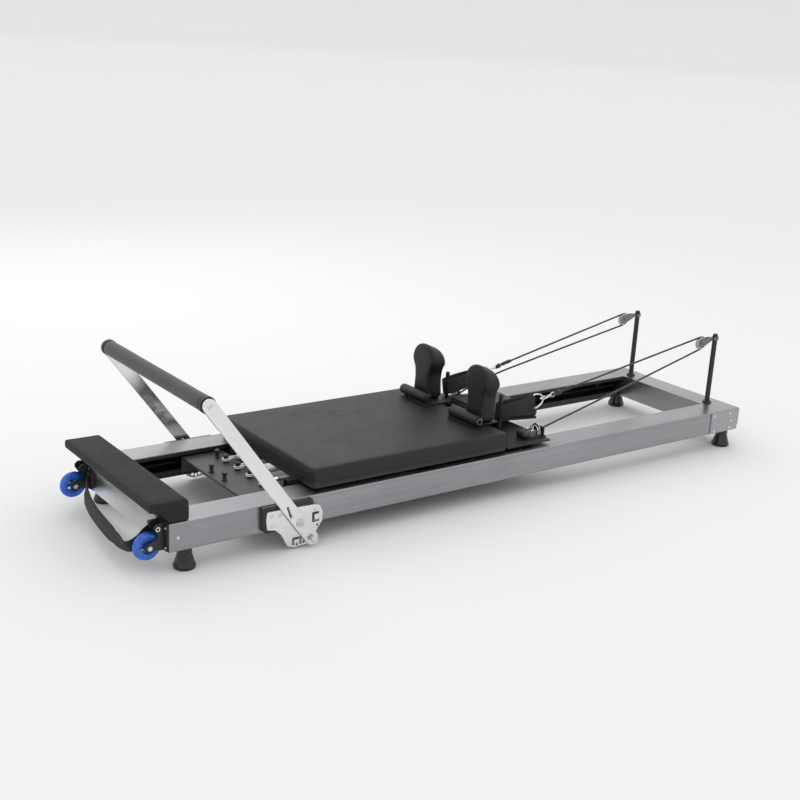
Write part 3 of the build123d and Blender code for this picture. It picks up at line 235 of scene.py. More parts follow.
def brushed(name, light, dark, rough, grain, turn=(0, 0, 0), depth=0.00002, marks=0.35):
    """Metal with a fine grain along its local X, worn tones, small scuffs and finger marks."""
    look = Look(name, light, rough, 1.0)
    lines = look.noise(look.coords((1.2, grain, grain), turn), 1.0, 6, 0.65)
    broad = look.noise(look.coords((1, 3, 3), turn), 2.2, 3)
    smudge = look.noise(look.coords(), 9.0, 5, 0.6)
    tone = look.mix(look.span(broad, 0.3, 0.7, 0.0, 1.0), dark, light)
    fine = look.span(lines, 0.35, 0.65, 0.86, 1.06)
    look.colour(look.add("HueSaturation", {"Color": tone, "Value": fine}).outputs["Color"])
    wear = look.span(smudge, 0.45, 0.75, 0.0, marks * rough)
    streak = look.span(lines, 0.3, 0.7, -0.25 * rough, 0.25 * rough)
    look.roughness(look.math("ADD", look.math("ADD", wear, streak), rough))
    look.normal(look.bump(lines, depth, 0.5))
    return look


def rail_metal(name, light, dark, rough, grain):
    """The rails' brushed metal, whose inner channel, below the top flange, is painted matte near-black as
    painted shade.
    """
    look = brushed(name, light, dark, rough, grain)
    place = look.add("SeparateXYZ", {0: look.add("TexCoord").outputs["Object"]})
    across = look.math("ABSOLUTE", place.outputs["Y"])
    inside = look.math("LESS_THAN", across, INNER_FACE)
    below = look.math("LESS_THAN", place.outputs["Z"], RAIL_TOP - 0.0035)
    # Painted shade: the channel below the top flange is painted matte near-black, not metal.
    channel_shade = look.math("MULTIPLY", inside, below)
    metal = look.shader.inputs["Base Color"].links[0].from_socket
    look.colour(look.mix(channel_shade, metal, (0.012, 0.012, 0.013)))
    grain_rough = look.shader.inputs["Roughness"].links[0].from_socket
    look.roughness(look.math("MAXIMUM", grain_rough, look.math("MULTIPLY", channel_shade, 0.55)))
    look.tree.links.new(look.math("SUBTRACT", 1.0, channel_shade), look.shader.inputs["Metallic"])
    return look


def beam_metal(name, light, dark, rough, grain, turn):
    """The cross beams' brushed metal, with the beam at the foot end painted brighter as a painted highlight.
    """
    look = brushed(name, light, dark, rough, grain, turn)
    place = look.add("SeparateXYZ", {0: look.add("TexCoord").outputs["Object"]})
    # Painted highlight: the foot-end beam's colour is mixed towards near-white.
    painted_highlight = look.math("LESS_THAN", place.outputs["X"], 0.0)
    metal = look.shader.inputs["Base Color"].links[0].from_socket
    look.colour(look.mix(look.math("MULTIPLY", painted_highlight, 0.8), metal, (0.85, 0.85, 0.86)))
    return look


def powder_coat(name, colour, rough):
    """Baked paint with a fine orange-peel skin, paler where it has rubbed."""
    look = Look(name, colour, rough)
    peel = look.noise(look.coords(), 900.0, 2)
    broad = look.noise(look.coords(), 14.0, 4)
    pale = paler(colour, 1.7, 0.01)
    look.colour(look.mix(look.span(broad, 0.4, 0.8, 0.0, 0.55), colour, pale))
    look.roughness(look.span(broad, 0.3, 0.7, rough - 0.06, rough + 0.08))
    look.normal(look.bump(peel, 0.00012, 0.6))
    return look


def moulded(name, colour, rough, texture=420.0, depth=0.00010):
    """Moulded plastic or rubber with a spark-eroded texture and slight handling marks."""
    look = Look(name, colour, rough)
    spark = look.noise(look.coords(), texture * 2.2, 3)
    broad = look.noise(look.coords(), 22.0, 4)
    pale = paler(colour, 1.5, 0.006)
    look.colour(look.mix(look.span(broad, 0.35, 0.75, 0.0, 0.7), colour, pale))
    look.roughness(look.span(broad, 0.3, 0.7, rough - 0.05, rough + 0.07))
    look.normal(look.bump(spark, depth, 0.5))
    return look


def vinyl(name, colour, rough, grain=520.0, depth=0.00022):
    """Upholstery vinyl: pebbled grain in two sizes, faint creases and a soft mottled sheen."""
    look = Look(name, colour, rough, Specular_IOR_Level=0.38)
    place = look.coords()
    bend = look.noise(place, 60.0, 2)
    pebbles = look.cells(place, grain)
    small = look.cells(place, grain * 2.3)
    crease = look.noise(look.coords((1, 1.6, 1)), 26.0, 6, 0.6)
    mottle = look.noise(place, 7.0, 5, 0.55)
    raised = look.span(pebbles, 0.0, 0.22, 0.0, 1.0)
    height = look.math("ADD", raised, look.span(small, 0.0, 0.2, 0.0, 0.35))
    pale = paler(colour, 1.35, 0.004)
    # Painted shade: the valleys between the pebbles are painted darker.
    groove = look.mix(look.span(pebbles, 0.0, 0.1, 0.0, 1.0), darker(colour, 0.6), colour)
    look.colour(look.mix(look.span(mottle, 0.35, 0.7, 0.0, 0.65), groove, pale))
    sheen = look.span(mottle, 0.3, 0.7, rough - 0.05, rough + 0.05)
    look.roughness(look.math("ADD", sheen, look.span(bend, 0.3, 0.7, -0.03, 0.03)))
    under = look.bump(crease, 0.0009, 0.22)
    look.normal(look.bump(height, depth, 0.55, under))
    return look


def stitched_webbing(name, colour, rib=0.0016, rough=0.75):
    """Woven webbing from the band's own UV map in metres: ribs across, a twill along, pale dust."""
    look = Look(name, colour, rough, Sheen_Weight=0.08, Sheen_Roughness=0.5, Specular_IOR_Level=0.3)
    uv = look.coords(kind="UV")
    along = look.wave(uv, 0.5 / rib, "X")
    across = look.wave(uv, 0.5 / (rib * 1.3), "Y")
    twill = look.wave(uv, 0.5 / (rib * 1.8), "DIAGONAL")
    weave = look.math("MULTIPLY", look.math("ADD", along, across), look.math("ADD", twill, 0.6))
    dust = look.noise(look.coords(), 40.0, 5)
    pale = paler(colour, 1.5, 0.02)
    low = darker(colour, 0.55)
    # Painted shade and highlight: the weave's low parts are painted darker and its ribs paler.
    tone = look.mix(look.span(weave, 0.3, 1.9, 0.0, 1.0), low, pale)
    look.colour(look.mix(look.span(dust, 0.45, 0.75, 0.0, 0.3), tone, pale))
    look.normal(look.bump(weave, 0.00035, 0.7))
    return look


def braid(name, colour):
    """Braided cover: the strands' own relief is in the mesh, the fibres are here."""
    look = Look(name, colour, 0.6, Sheen_Weight=0.4, Sheen_Roughness=0.45)
    uv = look.coords(kind="UV")
    fibres = look.noise(look.coords((900, 140, 1), (0, 0, 0.6), "UV"), 1.0, 3)
    fleck = look.noise(uv, 55.0, 4)
    pale = paler(colour, 2.0, 0.02)
    look.colour(look.mix(look.span(fleck, 0.4, 0.7, 0.0, 0.8), colour, pale))
    look.normal(look.bump(fibres, 0.00008, 0.5))
    return look


def foam(name, colour):
    """Closed-cell foam: fine pores, a skin with shallow dents and a dry sheen."""
    look = Look(name, colour, 0.82, Sheen_Weight=0.25)
    pores = look.cells(look.coords(), 1300.0, "F1")
    dents = look.noise(look.coords(), 45.0, 4)
    tone = look.noise(look.coords(), 12.0, 4)
    pale = paler(colour, 1.3, 0.01)
    # Painted shade: the pores are painted darker than the foam's skin.
    pore_shade = look.mix(look.span(pores, 0.0, 0.35, 0.0, 1.0), darker(colour, 0.55), colour)
    look.colour(look.mix(look.span(tone, 0.35, 0.7, 0.0, 0.6), pore_shade, pale))
    look.normal(look.bump(pores, 0.0002, 0.5, look.bump(dents, 0.0008, 0.3)))
    return look


def plywood(name):
    """Birch plywood: grain along X on the faces, thin plies on the edges."""
    look = Look(name, (0.58, 0.43, 0.27), 0.5)
    grain = look.noise(look.coords((2, 38, 2)), 3.0, 7, 0.6)
    plies = look.wave(look.coords(), 55.0, "Z", 0.6)
    face = look.mix(look.span(grain, 0.3, 0.7, 0.0, 1.0), (0.42, 0.28, 0.15), (0.66, 0.51, 0.33))
    look.colour(look.mix(look.span(plies, 0.2, 0.8, 0.0, 0.45), face, (0.30, 0.19, 0.10)))
    look.roughness(look.span(grain, 0.3, 0.7, 0.42, 0.6))
    look.normal(look.bump(grain, 0.0002, 0.4))
    return look


def urethane(name, deep, light):
    """Cast, see-through wheel urethane with a cloudy body and a worn, duller tread."""
    look = Look(
        name, deep, 0.22, Transmission_Weight=0.45, IOR=1.5, Subsurface_Weight=0.35,
        Subsurface_Scale=0.006, Coat_Weight=0.4, Coat_Roughness=0.15,
    )
    look.shader.inputs["Subsurface Radius"].default_value = (0.3, 0.7, 1.0)
    cloud = look.noise(look.coords(), 60.0, 4)
    scuffs = look.noise(look.coords((1, 8, 1)), 160.0, 4)
    look.colour(look.mix(look.span(cloud, 0.3, 0.7, 0.0, 1.0), deep, light))
    look.roughness(look.span(scuffs, 0.4, 0.7, 0.16, 0.42))
    look.normal(look.bump(scuffs, 0.0001, 0.35))
    return look


ARM_TURN = (0, math.radians(126.85), 0)  # the arms' grain runs along them
BLACK = (0.012, 0.012, 0.013)


def make_looks():
    quarter = (0, 0, math.radians(90))
    upright = (0, math.radians(90), 0)
    return {
        "rail": rail_metal("rail_aluminium", (0.37, 0.372, 0.388), (0.31, 0.312, 0.326), 0.33, 420.0),
        "corner": brushed("corner_plate", (0.42, 0.425, 0.44), (0.36, 0.365, 0.38), 0.33, 420.0),
        "nickel": brushed("nickel_plate", (0.24, 0.24, 0.245), (0.16, 0.16, 0.165), 0.28, 300.0),
        "beam": beam_metal("beam_aluminium", (0.42, 0.424, 0.44), (0.34, 0.344, 0.36), 0.33, 420.0, quarter),
        "arm": brushed(
            "arm_steel", (0.86, 0.86, 0.87), (0.80, 0.80, 0.82), 0.13, 600.0, ARM_TURN, 0.000008, 0.6,
        ),
        "plate": brushed("plate_steel", (0.86, 0.86, 0.86), (0.78, 0.78, 0.79), 0.24, 380.0, marks=0.5),
        "zinc": brushed("zinc_steel", (0.80, 0.80, 0.79), (0.66, 0.67, 0.67), 0.26, 200.0, upright),
        "bright": brushed("bright_zinc", (0.88, 0.88, 0.87), (0.74, 0.74, 0.74), 0.18, 260.0),
        "thread": moulded("thread", (0.022, 0.022, 0.023), 0.7, 900.0, 0.00004),
        "wire": brushed("spring_steel", (0.62, 0.62, 0.63), (0.45, 0.45, 0.46), 0.28, 300.0),
        "black_paint": powder_coat("black_paint", BLACK, 0.42),
        "grey_paint": powder_coat("grey_paint", (0.055, 0.056, 0.058), 0.5),
        "gloss": moulded("gloss_black_plastic", (0.010, 0.010, 0.011), 0.2, 200.0, 0.00003),
        "black_plastic": moulded("black_plastic", (0.014, 0.014, 0.015), 0.45),
        "white_plastic": moulded("white_plastic", (0.62, 0.62, 0.60), 0.4),
        "clear": moulded("sheave_plastic", (0.42, 0.42, 0.41), 0.3),
        "cam": moulded("cam_plastic", (0.10, 0.10, 0.105), 0.4),
        "rubber": moulded("black_rubber", (0.018, 0.018, 0.018), 0.7, 260.0, 0.0002),
        "vinyl": vinyl("vinyl_black", (0.0055, 0.0055, 0.006), 0.5),
        # Painted light: a lighter copy of the black vinyl, for the carriage and headrest pads whose tops face
        # the light.
        "vinyl_painted_lighter": vinyl("vinyl_grey", (0.008, 0.0082, 0.0088), 0.47),
        "platform": vinyl("platform_vinyl", (0.008, 0.0082, 0.0086), 0.68, 700.0, 0.00015),
        "webbing": stitched_webbing("webbing", (0.007, 0.007, 0.0075)),
        "rope": braid("rope_braid", (0.014, 0.014, 0.015)),
        "foam": foam("grip_foam", (0.034, 0.034, 0.036)),
        "plywood": plywood("plywood"),
        "tyre": urethane("blue_urethane", (0.004, 0.10, 0.62), (0.02, 0.22, 0.85)),
        "hub": urethane("blue_hub", (0.006, 0.09, 0.50), (0.03, 0.22, 0.75)),
    }


NODE_LOOKS = {
    "rail": ("rail_near", "rail_far"),
    "corner": ("corner_plates",),
    "beam": ("foot_beam", "head_beam"),
    "arm": ("footbar_arm_near", "footbar_arm_far"),
    "plate": ("selector_plates",),
    "nickel": ("pulley_blocks", "pulley_eyes"),
    "clear": ("sheave_near", "sheave_far"),
    "zinc": (
        "frame_bolts", "pivot_bolts", "wheel_bolts", "grip_bolts", "lock_plunger_near", "lock_plunger_far",
        "grip_tube",
    ),
    "black_paint": (
        "backing_plates", "posts", "carriage_frame", "rest_brackets", "headrest_bracket", "wheel_forks",
        "cleat_bases", "strap_anchors", "headrest_plate", "carriage_deck",
    ),
    "grey_paint": ("spring_plate",),
    "gloss": ("feet",),
    "black_plastic": ("spring_pegs", "grip_caps"),
    "cam": ("cleat_cams",),
    "white_plastic": ("side_glides",),
    "rubber": ("rail_stops", "roller_front_near", "roller_front_far", "roller_rear_near", "roller_rear_far"),
    "plywood": ("platform_board",),
    "tyre": ("wheel_tyre_near", "wheel_tyre_far"),
    "hub": ("wheel_hub_near", "wheel_hub_far"),
}


def paint_nodes(looks):
    for look, names in NODE_LOOKS.items():
        for name in names:
            node = nodes[name]
            if not node.material_slots:
                node.data.materials.append(None)
            for slot in node.material_slots:
                slot.link = "OBJECT"
                slot.material = looks[look].material


# ------------------------------------------------------------------ mesh helpers
def place_piece(name, shape, look, body=None, stands_for=None):
    """A mesh object in metres from (verts, faces) or (verts, faces, uvs), with its finish and
    slot. It rides on its body, and stands for a CAD node if one is named."""
    verts, faces, *maps = shape
    mesh = bpy.data.meshes.new(name)
    mesh.from_pydata([tuple(v) for v in verts], [], faces)
    mesh.polygons.foreach_set("use_smooth", [True] * len(mesh.polygons))
    mesh.materials.append(looks[look].material)
    for uvs in maps:
        layer = mesh.uv_layers.new(name="UVMap")
        for loop in mesh.loops:
            layer.data[loop.index].uv = uvs[loop.vertex_index]
    mesh.update()
    piece = bpy.data.objects.new(name, mesh)
    scene.collection.objects.link(piece)
    if stands_for:
        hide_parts(stands_for)
    if body:
        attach(piece, body)
    return piece


def join_parts(parts):
    """Several shapes as one, without their UVs."""
    verts, faces = [], []
    for part_verts, part_faces, *_ in parts:
        start = len(verts)
        verts += part_verts
        faces += [tuple(start + i for i in face) for face in part_faces]
    return verts, faces


def spline_points(route):
    """The line of the NURBS spline through the route's points."""
    data = bpy.data.curves.new("line", "CURVE")
    data.dimensions = "3D"
    data.resolution_u = 40
    spline = data.splines.new("NURBS")
    spline.points.add(len(route) - 1)
    for point, place in zip(spline.points, route):
        point.co = (*place, 1.0)
    spline.order_u = 3
    spline.use_endpoint_u = True
    holder = bpy.data.objects.new("line", data)
    scene.collection.objects.link(holder)
    bpy.context.view_layer.update()
    mesh = bpy.data.meshes.new_from_object(holder)
    points = [v.co.copy() for v in mesh.vertices]
    bpy.data.objects.remove(holder)
    bpy.data.curves.remove(data)
    bpy.data.meshes.remove(mesh)
    return points


def spaced(points, step):
    """The same line with its points one step apart."""
    line = np.array([tuple(p) for p in points])
    runs = np.linalg.norm(np.diff(line, axis=0), axis=1)
    far = np.concatenate([[0], np.cumsum(runs)])
    count = max(2, int(round(far[-1] / step)) + 1)
    marks = np.linspace(0, far[-1], count)
    return [Vector([np.interp(m, far, line[:, k]) for k in range(3)]) for m in marks], marks


def smooth_line(route, step):
    """The spline through the route's points, as points one step apart."""
    return spaced(spline_points([Vector(p) for p in route]), step)[0]


def line_frames(points, start_side, closed=False):
    """Direction, side and upward axis at each point, turned as little as the line allows."""
    count = len(points)
    side = Vector(start_side)
    frames_here = []
    for i in range(count):
        if closed:
            direction = (points[(i + 1) % count] - points[i - 1]).normalized()
        else:
            direction = (points[min(i + 1, count - 1)] - points[max(i - 1, 0)]).normalized()
        side = (side - direction * side.dot(direction)).normalized()
        frames_here.append((direction, side, side.cross(direction)))
    return frames_here


def sweep(points, section, start_side, closed=False):
    """A skin round the line: section(i) gives its outline's (side, up) offsets at point i."""
    axes = line_frames(points, start_side, closed)
    verts, faces, uvs = [], [], []
    far = 0.0
    for i, (point, (_, side, above)) in enumerate(zip(points, axes)):
        if i:
            far += (point - points[i - 1]).length
        outline = section(i)
        round_it = 0.0
        for k, (a, b) in enumerate(outline):
            if k:
                round_it += math.hypot(a - outline[k - 1][0], b - outline[k - 1][1])
            verts.append(point + side * a + above * b)
            uvs.append((far, round_it))
    size = len(section(0))
    rows = len(points)
    for i in range(rows if closed else rows - 1):
        for k in range(size):
            a, b = i * size + k, i * size + (k + 1) % size
            c, d = ((i + 1) % rows) * size + (k + 1) % size, ((i + 1) % rows) * size + k
            faces.append((a, b, c, d))
    if not closed:
        faces.append(tuple(reversed(range(size))))
        faces.append(tuple((rows - 1) * size + k for k in range(size)))
    return verts, faces, uvs


def ring_outline(radius, count=12):
    return [
        (radius * math.cos(2 * math.pi * k / count), radius * math.sin(2 * math.pi * k / count))
        for k in range(count)
    ]


def wire(points, radius, start_side=(0, 0, 1), closed=False, count=12):
    outline = ring_outline(radius, count)
    return sweep([Vector(p) for p in points], lambda i: outline, start_side, closed)


def turned(profile, origin, axis, count=40):
    """A closed turned part: profile holds (distance along the axis, radius), in metres."""
    axis = Vector(axis).normalized()
    side = axis.orthogonal().normalized()
    above = axis.cross(side)
    verts, faces, uvs = [], [], []
    for k in range(count):
        turn = 2 * math.pi * k / count
        out = side * math.cos(turn) + above * math.sin(turn)
        for far, radius in profile:
            verts.append(Vector(origin) + axis * far + out * radius)
            uvs.append((far, radius * turn))
    size = len(profile)
    for k in range(count):
        for i in range(size):
            j = (i + 1) % size
            here, beyond = k * size, (k + 1) % count * size
            faces.append((here + i, here + j, beyond + j, beyond + i))
    return verts, faces, uvs


def softened(profile, radii, steps=4):
    """A closed profile with its corners rounded, by one radius or by a list of them."""
    if not isinstance(radii, list):
        radii = [radii] * len(profile)
    made = []
    for i, here in enumerate(profile):
        here = Vector(here)
        before = Vector(profile[i - 1])
        after = Vector(profile[(i + 1) % len(profile)])
        reach = min(radii[i], (before - here).length / 2.2, (after - here).length / 2.2)
        start = here + (before - here).normalized() * reach
        end = here + (after - here).normalized() * reach
        for k in range(steps + 1):
            t = k / steps
            made.append(tuple(start * (1 - t) ** 2 + here * 2 * t * (1 - t) + end * t ** 2))
    return made


def rounded_rectangle(half_u, half_v, corner, steps=6):
    points = []
    for su, sv, turn in ((1, 1, 0), (-1, 1, 90), (-1, -1, 180), (1, -1, 270)):
        for k in range(steps + 1):
            a = math.radians(turn + 90 * k / steps)
            u = su * (half_u - corner) + corner * math.cos(a)
            points.append((u, sv * (half_v - corner) + corner * math.sin(a)))
    return points


def rounded_slab(outline, low, high, edge, place, steps=4):
    """A closed slab on an outline, with its rims rounded: place(u, v, w) gives a point of it."""
    count = len(outline)
    flat = [Vector(p) for p in outline]
    inward = []
    for i in range(count):
        along = (flat[(i + 1) % count] - flat[i - 1]).normalized()
        inward.append(Vector((-along.y, along.x)))
    levels = []
    for k in range(steps + 1):
        a = math.radians(90 * k / steps)
        levels.append((edge * (1 - math.sin(a)), low + edge * (1 - math.cos(a))))
    levels += [(inset, high - (w - low)) for inset, w in reversed(levels)]
    verts, faces = [], []
    for inset, w in levels:
        verts += [place(p.x + n.x * inset, p.y + n.y * inset, w) for p, n in zip(flat, inward)]
    for j in range(len(levels) - 1):
        for i in range(count):
            k = (i + 1) % count
            faces.append((j * count + i, j * count + k, (j + 1) * count + k, (j + 1) * count + i))
    faces.append(tuple(reversed(range(count))))
    faces.append(tuple((len(levels) - 1) * count + i for i in range(count)))
    return verts, faces


# ------------------------------------------------------------------ stuffed covers
def points_of(mesh):
    co = np.zeros(len(mesh.vertices) * 3, np.float32)
    mesh.vertices.foreach_get("co", co)
    return co.reshape(-1, 3).astype(float)


def set_points(mesh, co):
    mesh.vertices.foreach_set("co", co.astype(np.float32).ravel())
    mesh.update()


def settle(piece):
    """Turns the piece's modifiers into its mesh."""
    graph = bpy.context.evaluated_depsgraph_get()
    made = bpy.data.meshes.new_from_object(piece.evaluated_get(graph))
    piece.modifiers.clear()
    old = piece.data
    piece.data = made
    bpy.data.meshes.remove(old)
    made.polygons.foreach_set("use_smooth", [True] * len(made.polygons))


def relax(piece, rounds, share=0.5):
    """Evens out the remesher's steps."""
    mesh = piece.data
    co = points_of(mesh)
    pairs = np.zeros(len(mesh.edges) * 2, np.int32)
    mesh.edges.foreach_get("vertices", pairs)
    pairs = pairs.reshape(-1, 2)
    degree = np.bincount(pairs.ravel(), minlength=len(co))[:, None]
    for _ in range(rounds):
        total = np.zeros_like(co)
        np.add.at(total, pairs[:, 0], co[pairs[:, 1]])
        np.add.at(total, pairs[:, 1], co[pairs[:, 0]])
        co += share * (total / np.maximum(degree, 1) - co)
    set_points(mesh, co)


SIM_FRAMES = 20
CLOTH = {
    "quality": 4, "mass": 0.3, "tension_stiffness": 15, "compression_stiffness": 15, "bending_stiffness": 0.6,
    "use_pressure": True, "uniform_pressure_force": 4.0,
}


def swell(piece, cap, held):
    """Fills the cover: air inside presses it out, each point by no more than the cap."""
    before = points_of(piece.data)
    group = piece.vertex_groups.new(name="held")
    group.add([int(i) for i in np.nonzero(held(before))[0]], 1.0, "REPLACE")
    cloth = piece.modifiers.new("Cloth", "CLOTH")
    cloth.settings.vertex_group_mass = group.name
    for key, value in CLOTH.items():
        setattr(cloth.settings, key, value)
    cloth.settings.effector_weights.gravity = 0.0
    cloth.point_cache.frame_start = 1
    cloth.point_cache.frame_end = SIM_FRAMES
    for frame_number in range(1, SIM_FRAMES + 1):
        scene.frame_set(frame_number)
    graph = bpy.context.evaluated_depsgraph_get()
    after = points_of(piece.evaluated_get(graph).data)
    piece.modifiers.remove(cloth)
    piece.vertex_groups.clear()
    scene.frame_set(1)
    move = after - before
    size = np.maximum(np.linalg.norm(move, axis=1, keepdims=True), 1e-9)
    set_points(piece.data, before + move / size * cap * np.tanh(size / cap))


def groove(piece, distance, width, depth):
    """A sewn seam: the cover is drawn in along a line, by its distance from each point."""
    mesh = piece.data
    co = points_of(mesh)
    normals = np.zeros(len(co) * 3, np.float32)
    mesh.vertices.foreach_get("normal", normals)
    far = distance(co)
    co -= normals.reshape(-1, 3) * (depth * np.exp(-((far / width) ** 2)))[:, None]
    set_points(mesh, co)


def stuffed(name, shape, look, voxel, cap, held, rounds=1):
    """A stuffed cover from a closed shape: remeshed, filled, smoothed and subdivided."""
    piece = place_piece(name, shape, look)
    remesh = piece.modifiers.new("Remesh", "REMESH")
    remesh.mode = "VOXEL"
    remesh.voxel_size = voxel
    settle(piece)
    relax(piece, rounds)
    swell(piece, cap, held)
    relax(piece, 1)
    level = piece.modifiers.new("Subdivision", "SUBSURF")
    level.levels = 1
    level.render_levels = 1
    settle(piece)
    return piece


def stitches(path, outward, pitch=0.0042, length=0.0026, radius=0.00035):
    """A row of thread stitches along the path, each lifted off the cover along outward."""
    points, _ = spaced(path, pitch)
    outward = Vector(outward)
    parts = []
    for a, b in zip(points, points[1:]):
        middle = (a + b) / 2
        run = (b - a).normalized() * length / 2
        lift = outward * radius * 0.9
        path = [middle - run, middle - run * 0.5 + lift, middle + run * 0.5 + lift, middle + run]
        parts.append(wire(path, radius, outward, count=6))
    return join_parts(parts)


def make_carriage_cushion():
    low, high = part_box("carriage_pad")
    middle = (low + high) / 2
    half_x, half_y = (high.x - low.x) / 2 - 0.0015, (high.y - low.y) / 2 - 0.0015
    bottom, top = low.z + 0.002, high.z - 0.0018
    outline = rounded_rectangle(half_x, half_y, 0.016)
    shape = rounded_slab(
        outline, bottom, top, 0.007, lambda u, v, w: Vector((middle.x + u, middle.y + v, w))
    )
    cushion = stuffed(
        "carriage_cushion", shape, "vinyl_painted_lighter", 0.008, 0.0014,
        lambda co: co[:, 2] < bottom + 0.004,
    )
    seam_rise = top - 0.012

    def seam(co):
        past_x, past_y = np.abs(co[:, 0] - middle.x) - half_x, np.abs(co[:, 1] - middle.y) - half_y
        return np.where(np.abs(np.maximum(past_x, past_y)) < 0.006, np.abs(co[:, 2] - seam_rise), 1.0)

    groove(cushion, seam, 0.004, 0.0012)
    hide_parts("carriage_pad")
    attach(cushion, "carriage")


def shoulder_outline(grow):
    """One shoulder pad's outline: (across from its middle, rise), round head on a waist."""
    half = [
        (0.049, 0.084), (0.0468, 0.118), (0.0450, 0.150), (0.0462, 0.166), (0.0493, 0.181), (0.0560, 0.196),
    ]
    centre, radius = 0.2147, 0.0623
    for degrees in (-5, 12, 30, 48, 66, 82):
        a = math.radians(degrees)
        half.append((radius * math.cos(a), centre + radius * math.sin(a)))
    half = [(y - grow, z) for y, z in half] + [(0.0, centre + radius - grow)]
    return half + [(-y, z) for y, z in reversed(half[:-1])]


def make_shoulder_cushions():
    for name, side in SIDES:
        low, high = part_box(f"shoulder_pad_{name}")
        centre_y = (low.y + high.y) / 2
        slope_start, front_top, slope_drop = low.x + 0.016, high.z - RAIL_TOP, 0.026
        neck = 0.200

        def place(u, v, w):
            """Above the neck, the head drops towards the back."""
            limit = front_top - max(0.0, w - slope_start) / (high.x - slope_start) * slope_drop
            z = v if v < neck else neck + (v - neck) * (limit - neck) / (front_top - neck)
            return Vector((w, centre_y + u, RAIL_TOP + z))

        outline = smooth_outline(shoulder_outline(0.0008), 96)
        shape = rounded_slab(outline, low.x + 0.0008, high.x - 0.0008, 0.007, place)
        cushion = stuffed(
            f"shoulder_cushion_{name}", shape, "vinyl", 0.004, 0.0018,
            lambda co: co[:, 2] < RAIL_TOP + 0.0885,
        )
        edge = smooth_outline(shoulder_outline(0.0), 220)
        rim = np.array([tuple(place(u, v, low.x + 0.006)) for u, v in edge])

        def seam(co):
            flat = np.sqrt(((co[:, None, 1:] - rim[None, :, 1:]) ** 2).sum(2)).min(1)
            return np.where(flat < 0.012, np.abs(co[:, 0] - (low.x + 0.0085)), 1.0)

        groove(cushion, seam, 0.0022, 0.0011)
        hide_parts(f"shoulder_pad_{name}")
        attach(cushion, "carriage")


def smooth_outline(points, count):
    """The closed outline with evenly spaced points and eased corners."""
    closed = [Vector((*p, 0)) for p in points] + [Vector((*points[0], 0))]
    line, _ = spaced(closed, 0.0005)
    line = line[:-1]
    span = 12
    total = len(line)
    made = []
    for k in range(count):
        i = int(k * total / count)
        near = [line[(i + j) % total] for j in range(-span, span + 1)]
        mean = sum(near, Vector((0, 0, 0))) / len(near)
        made.append((mean.x, mean.y))
    return made


def make_rolls():
    low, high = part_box("rest_rolls")
    centre_x, centre_z = (low.x + high.x) / 2, (low.z + high.z) / 2
    radius, bore = (high.x - low.x) / 2, 0.0094
    rings = []
    inner, outer = 0.068, 0.218
    length = outer - inner
    end_profile = [
        (0.0, bore), (0.0, radius - 0.006), (0.002, radius - 0.0022), (0.007, radius - 0.0004),
        (0.010, radius - 0.0010), (0.0135, radius),
    ]
    profile = end_profile + [(length / 2, radius)] + [(length - x, r) for x, r in reversed(end_profile)]
    for name, side in SIDES:
        verts, faces, uvs = turned(profile, (centre_x, side * inner, centre_z), (0, side, 0), 64)
        for i, v in enumerate(verts):
            far = side * v.y - inner
            turn = math.atan2(v.z - centre_z, v.x - centre_x)
            end = math.exp(-min(far, length - far) / 0.012)
            out = Vector((v.x - centre_x, 0, v.z - centre_z))
            if out.length > radius * 0.6:
                pleats = end * (1 + math.sin(16 * turn))
                dents = 0.35 * math.sin(3 * turn + far * 60) ** 2
                verts[i] = v - out.normalized() * 0.0005 * (pleats + dents)
        shape = (verts, faces, uvs)
        roll = place_piece(f"roll_{name}", shape, "vinyl", "carriage", "rest_rolls")
        lip = softened([(0.0, 0.0072), (0.0, 0.0112), (0.0018, 0.0112), (0.0018, 0.0072)], 0.0008)
        rings.append(turned(lip, (centre_x, side * (outer + 0.0003), centre_z), (0, side, 0)))
    place_piece("roll_tube_rings", join_parts(rings), "nickel", "carriage")


def make_headrest_cushion():
    low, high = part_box("headrest_pad")
    tilt = math.radians(5)
    length, thick = 0.250, 0.034
    half = (high.y - low.y) / 2
    turn = Matrix.Translation((low + high) / 2) @ Matrix.Rotation(tilt, 4, "Y")
    outline = rounded_rectangle(length / 2 - 0.003, half - 0.003, 0.018)
    shape = rounded_slab(outline, -thick / 2, thick / 2 - 0.004, 0.008, lambda u, v, w: Vector((u, v, w)))
    cushion = stuffed(
        "headrest_cushion", shape, "vinyl_painted_lighter", 0.005, 0.004,
        lambda co: co[:, 2] < -thick / 2 + 0.003, 2,
    )

    def seam(co):
        past = np.maximum(np.abs(co[:, 0]) - length / 2, np.abs(co[:, 1]) - half)
        return np.where(past > -0.008, np.abs(co[:, 2] - 0.002), 1.0)

    groove(cushion, seam, 0.0028, 0.0012)
    cushion.data.transform(turn)
    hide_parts("headrest_pad")
    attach(cushion, "headrest")


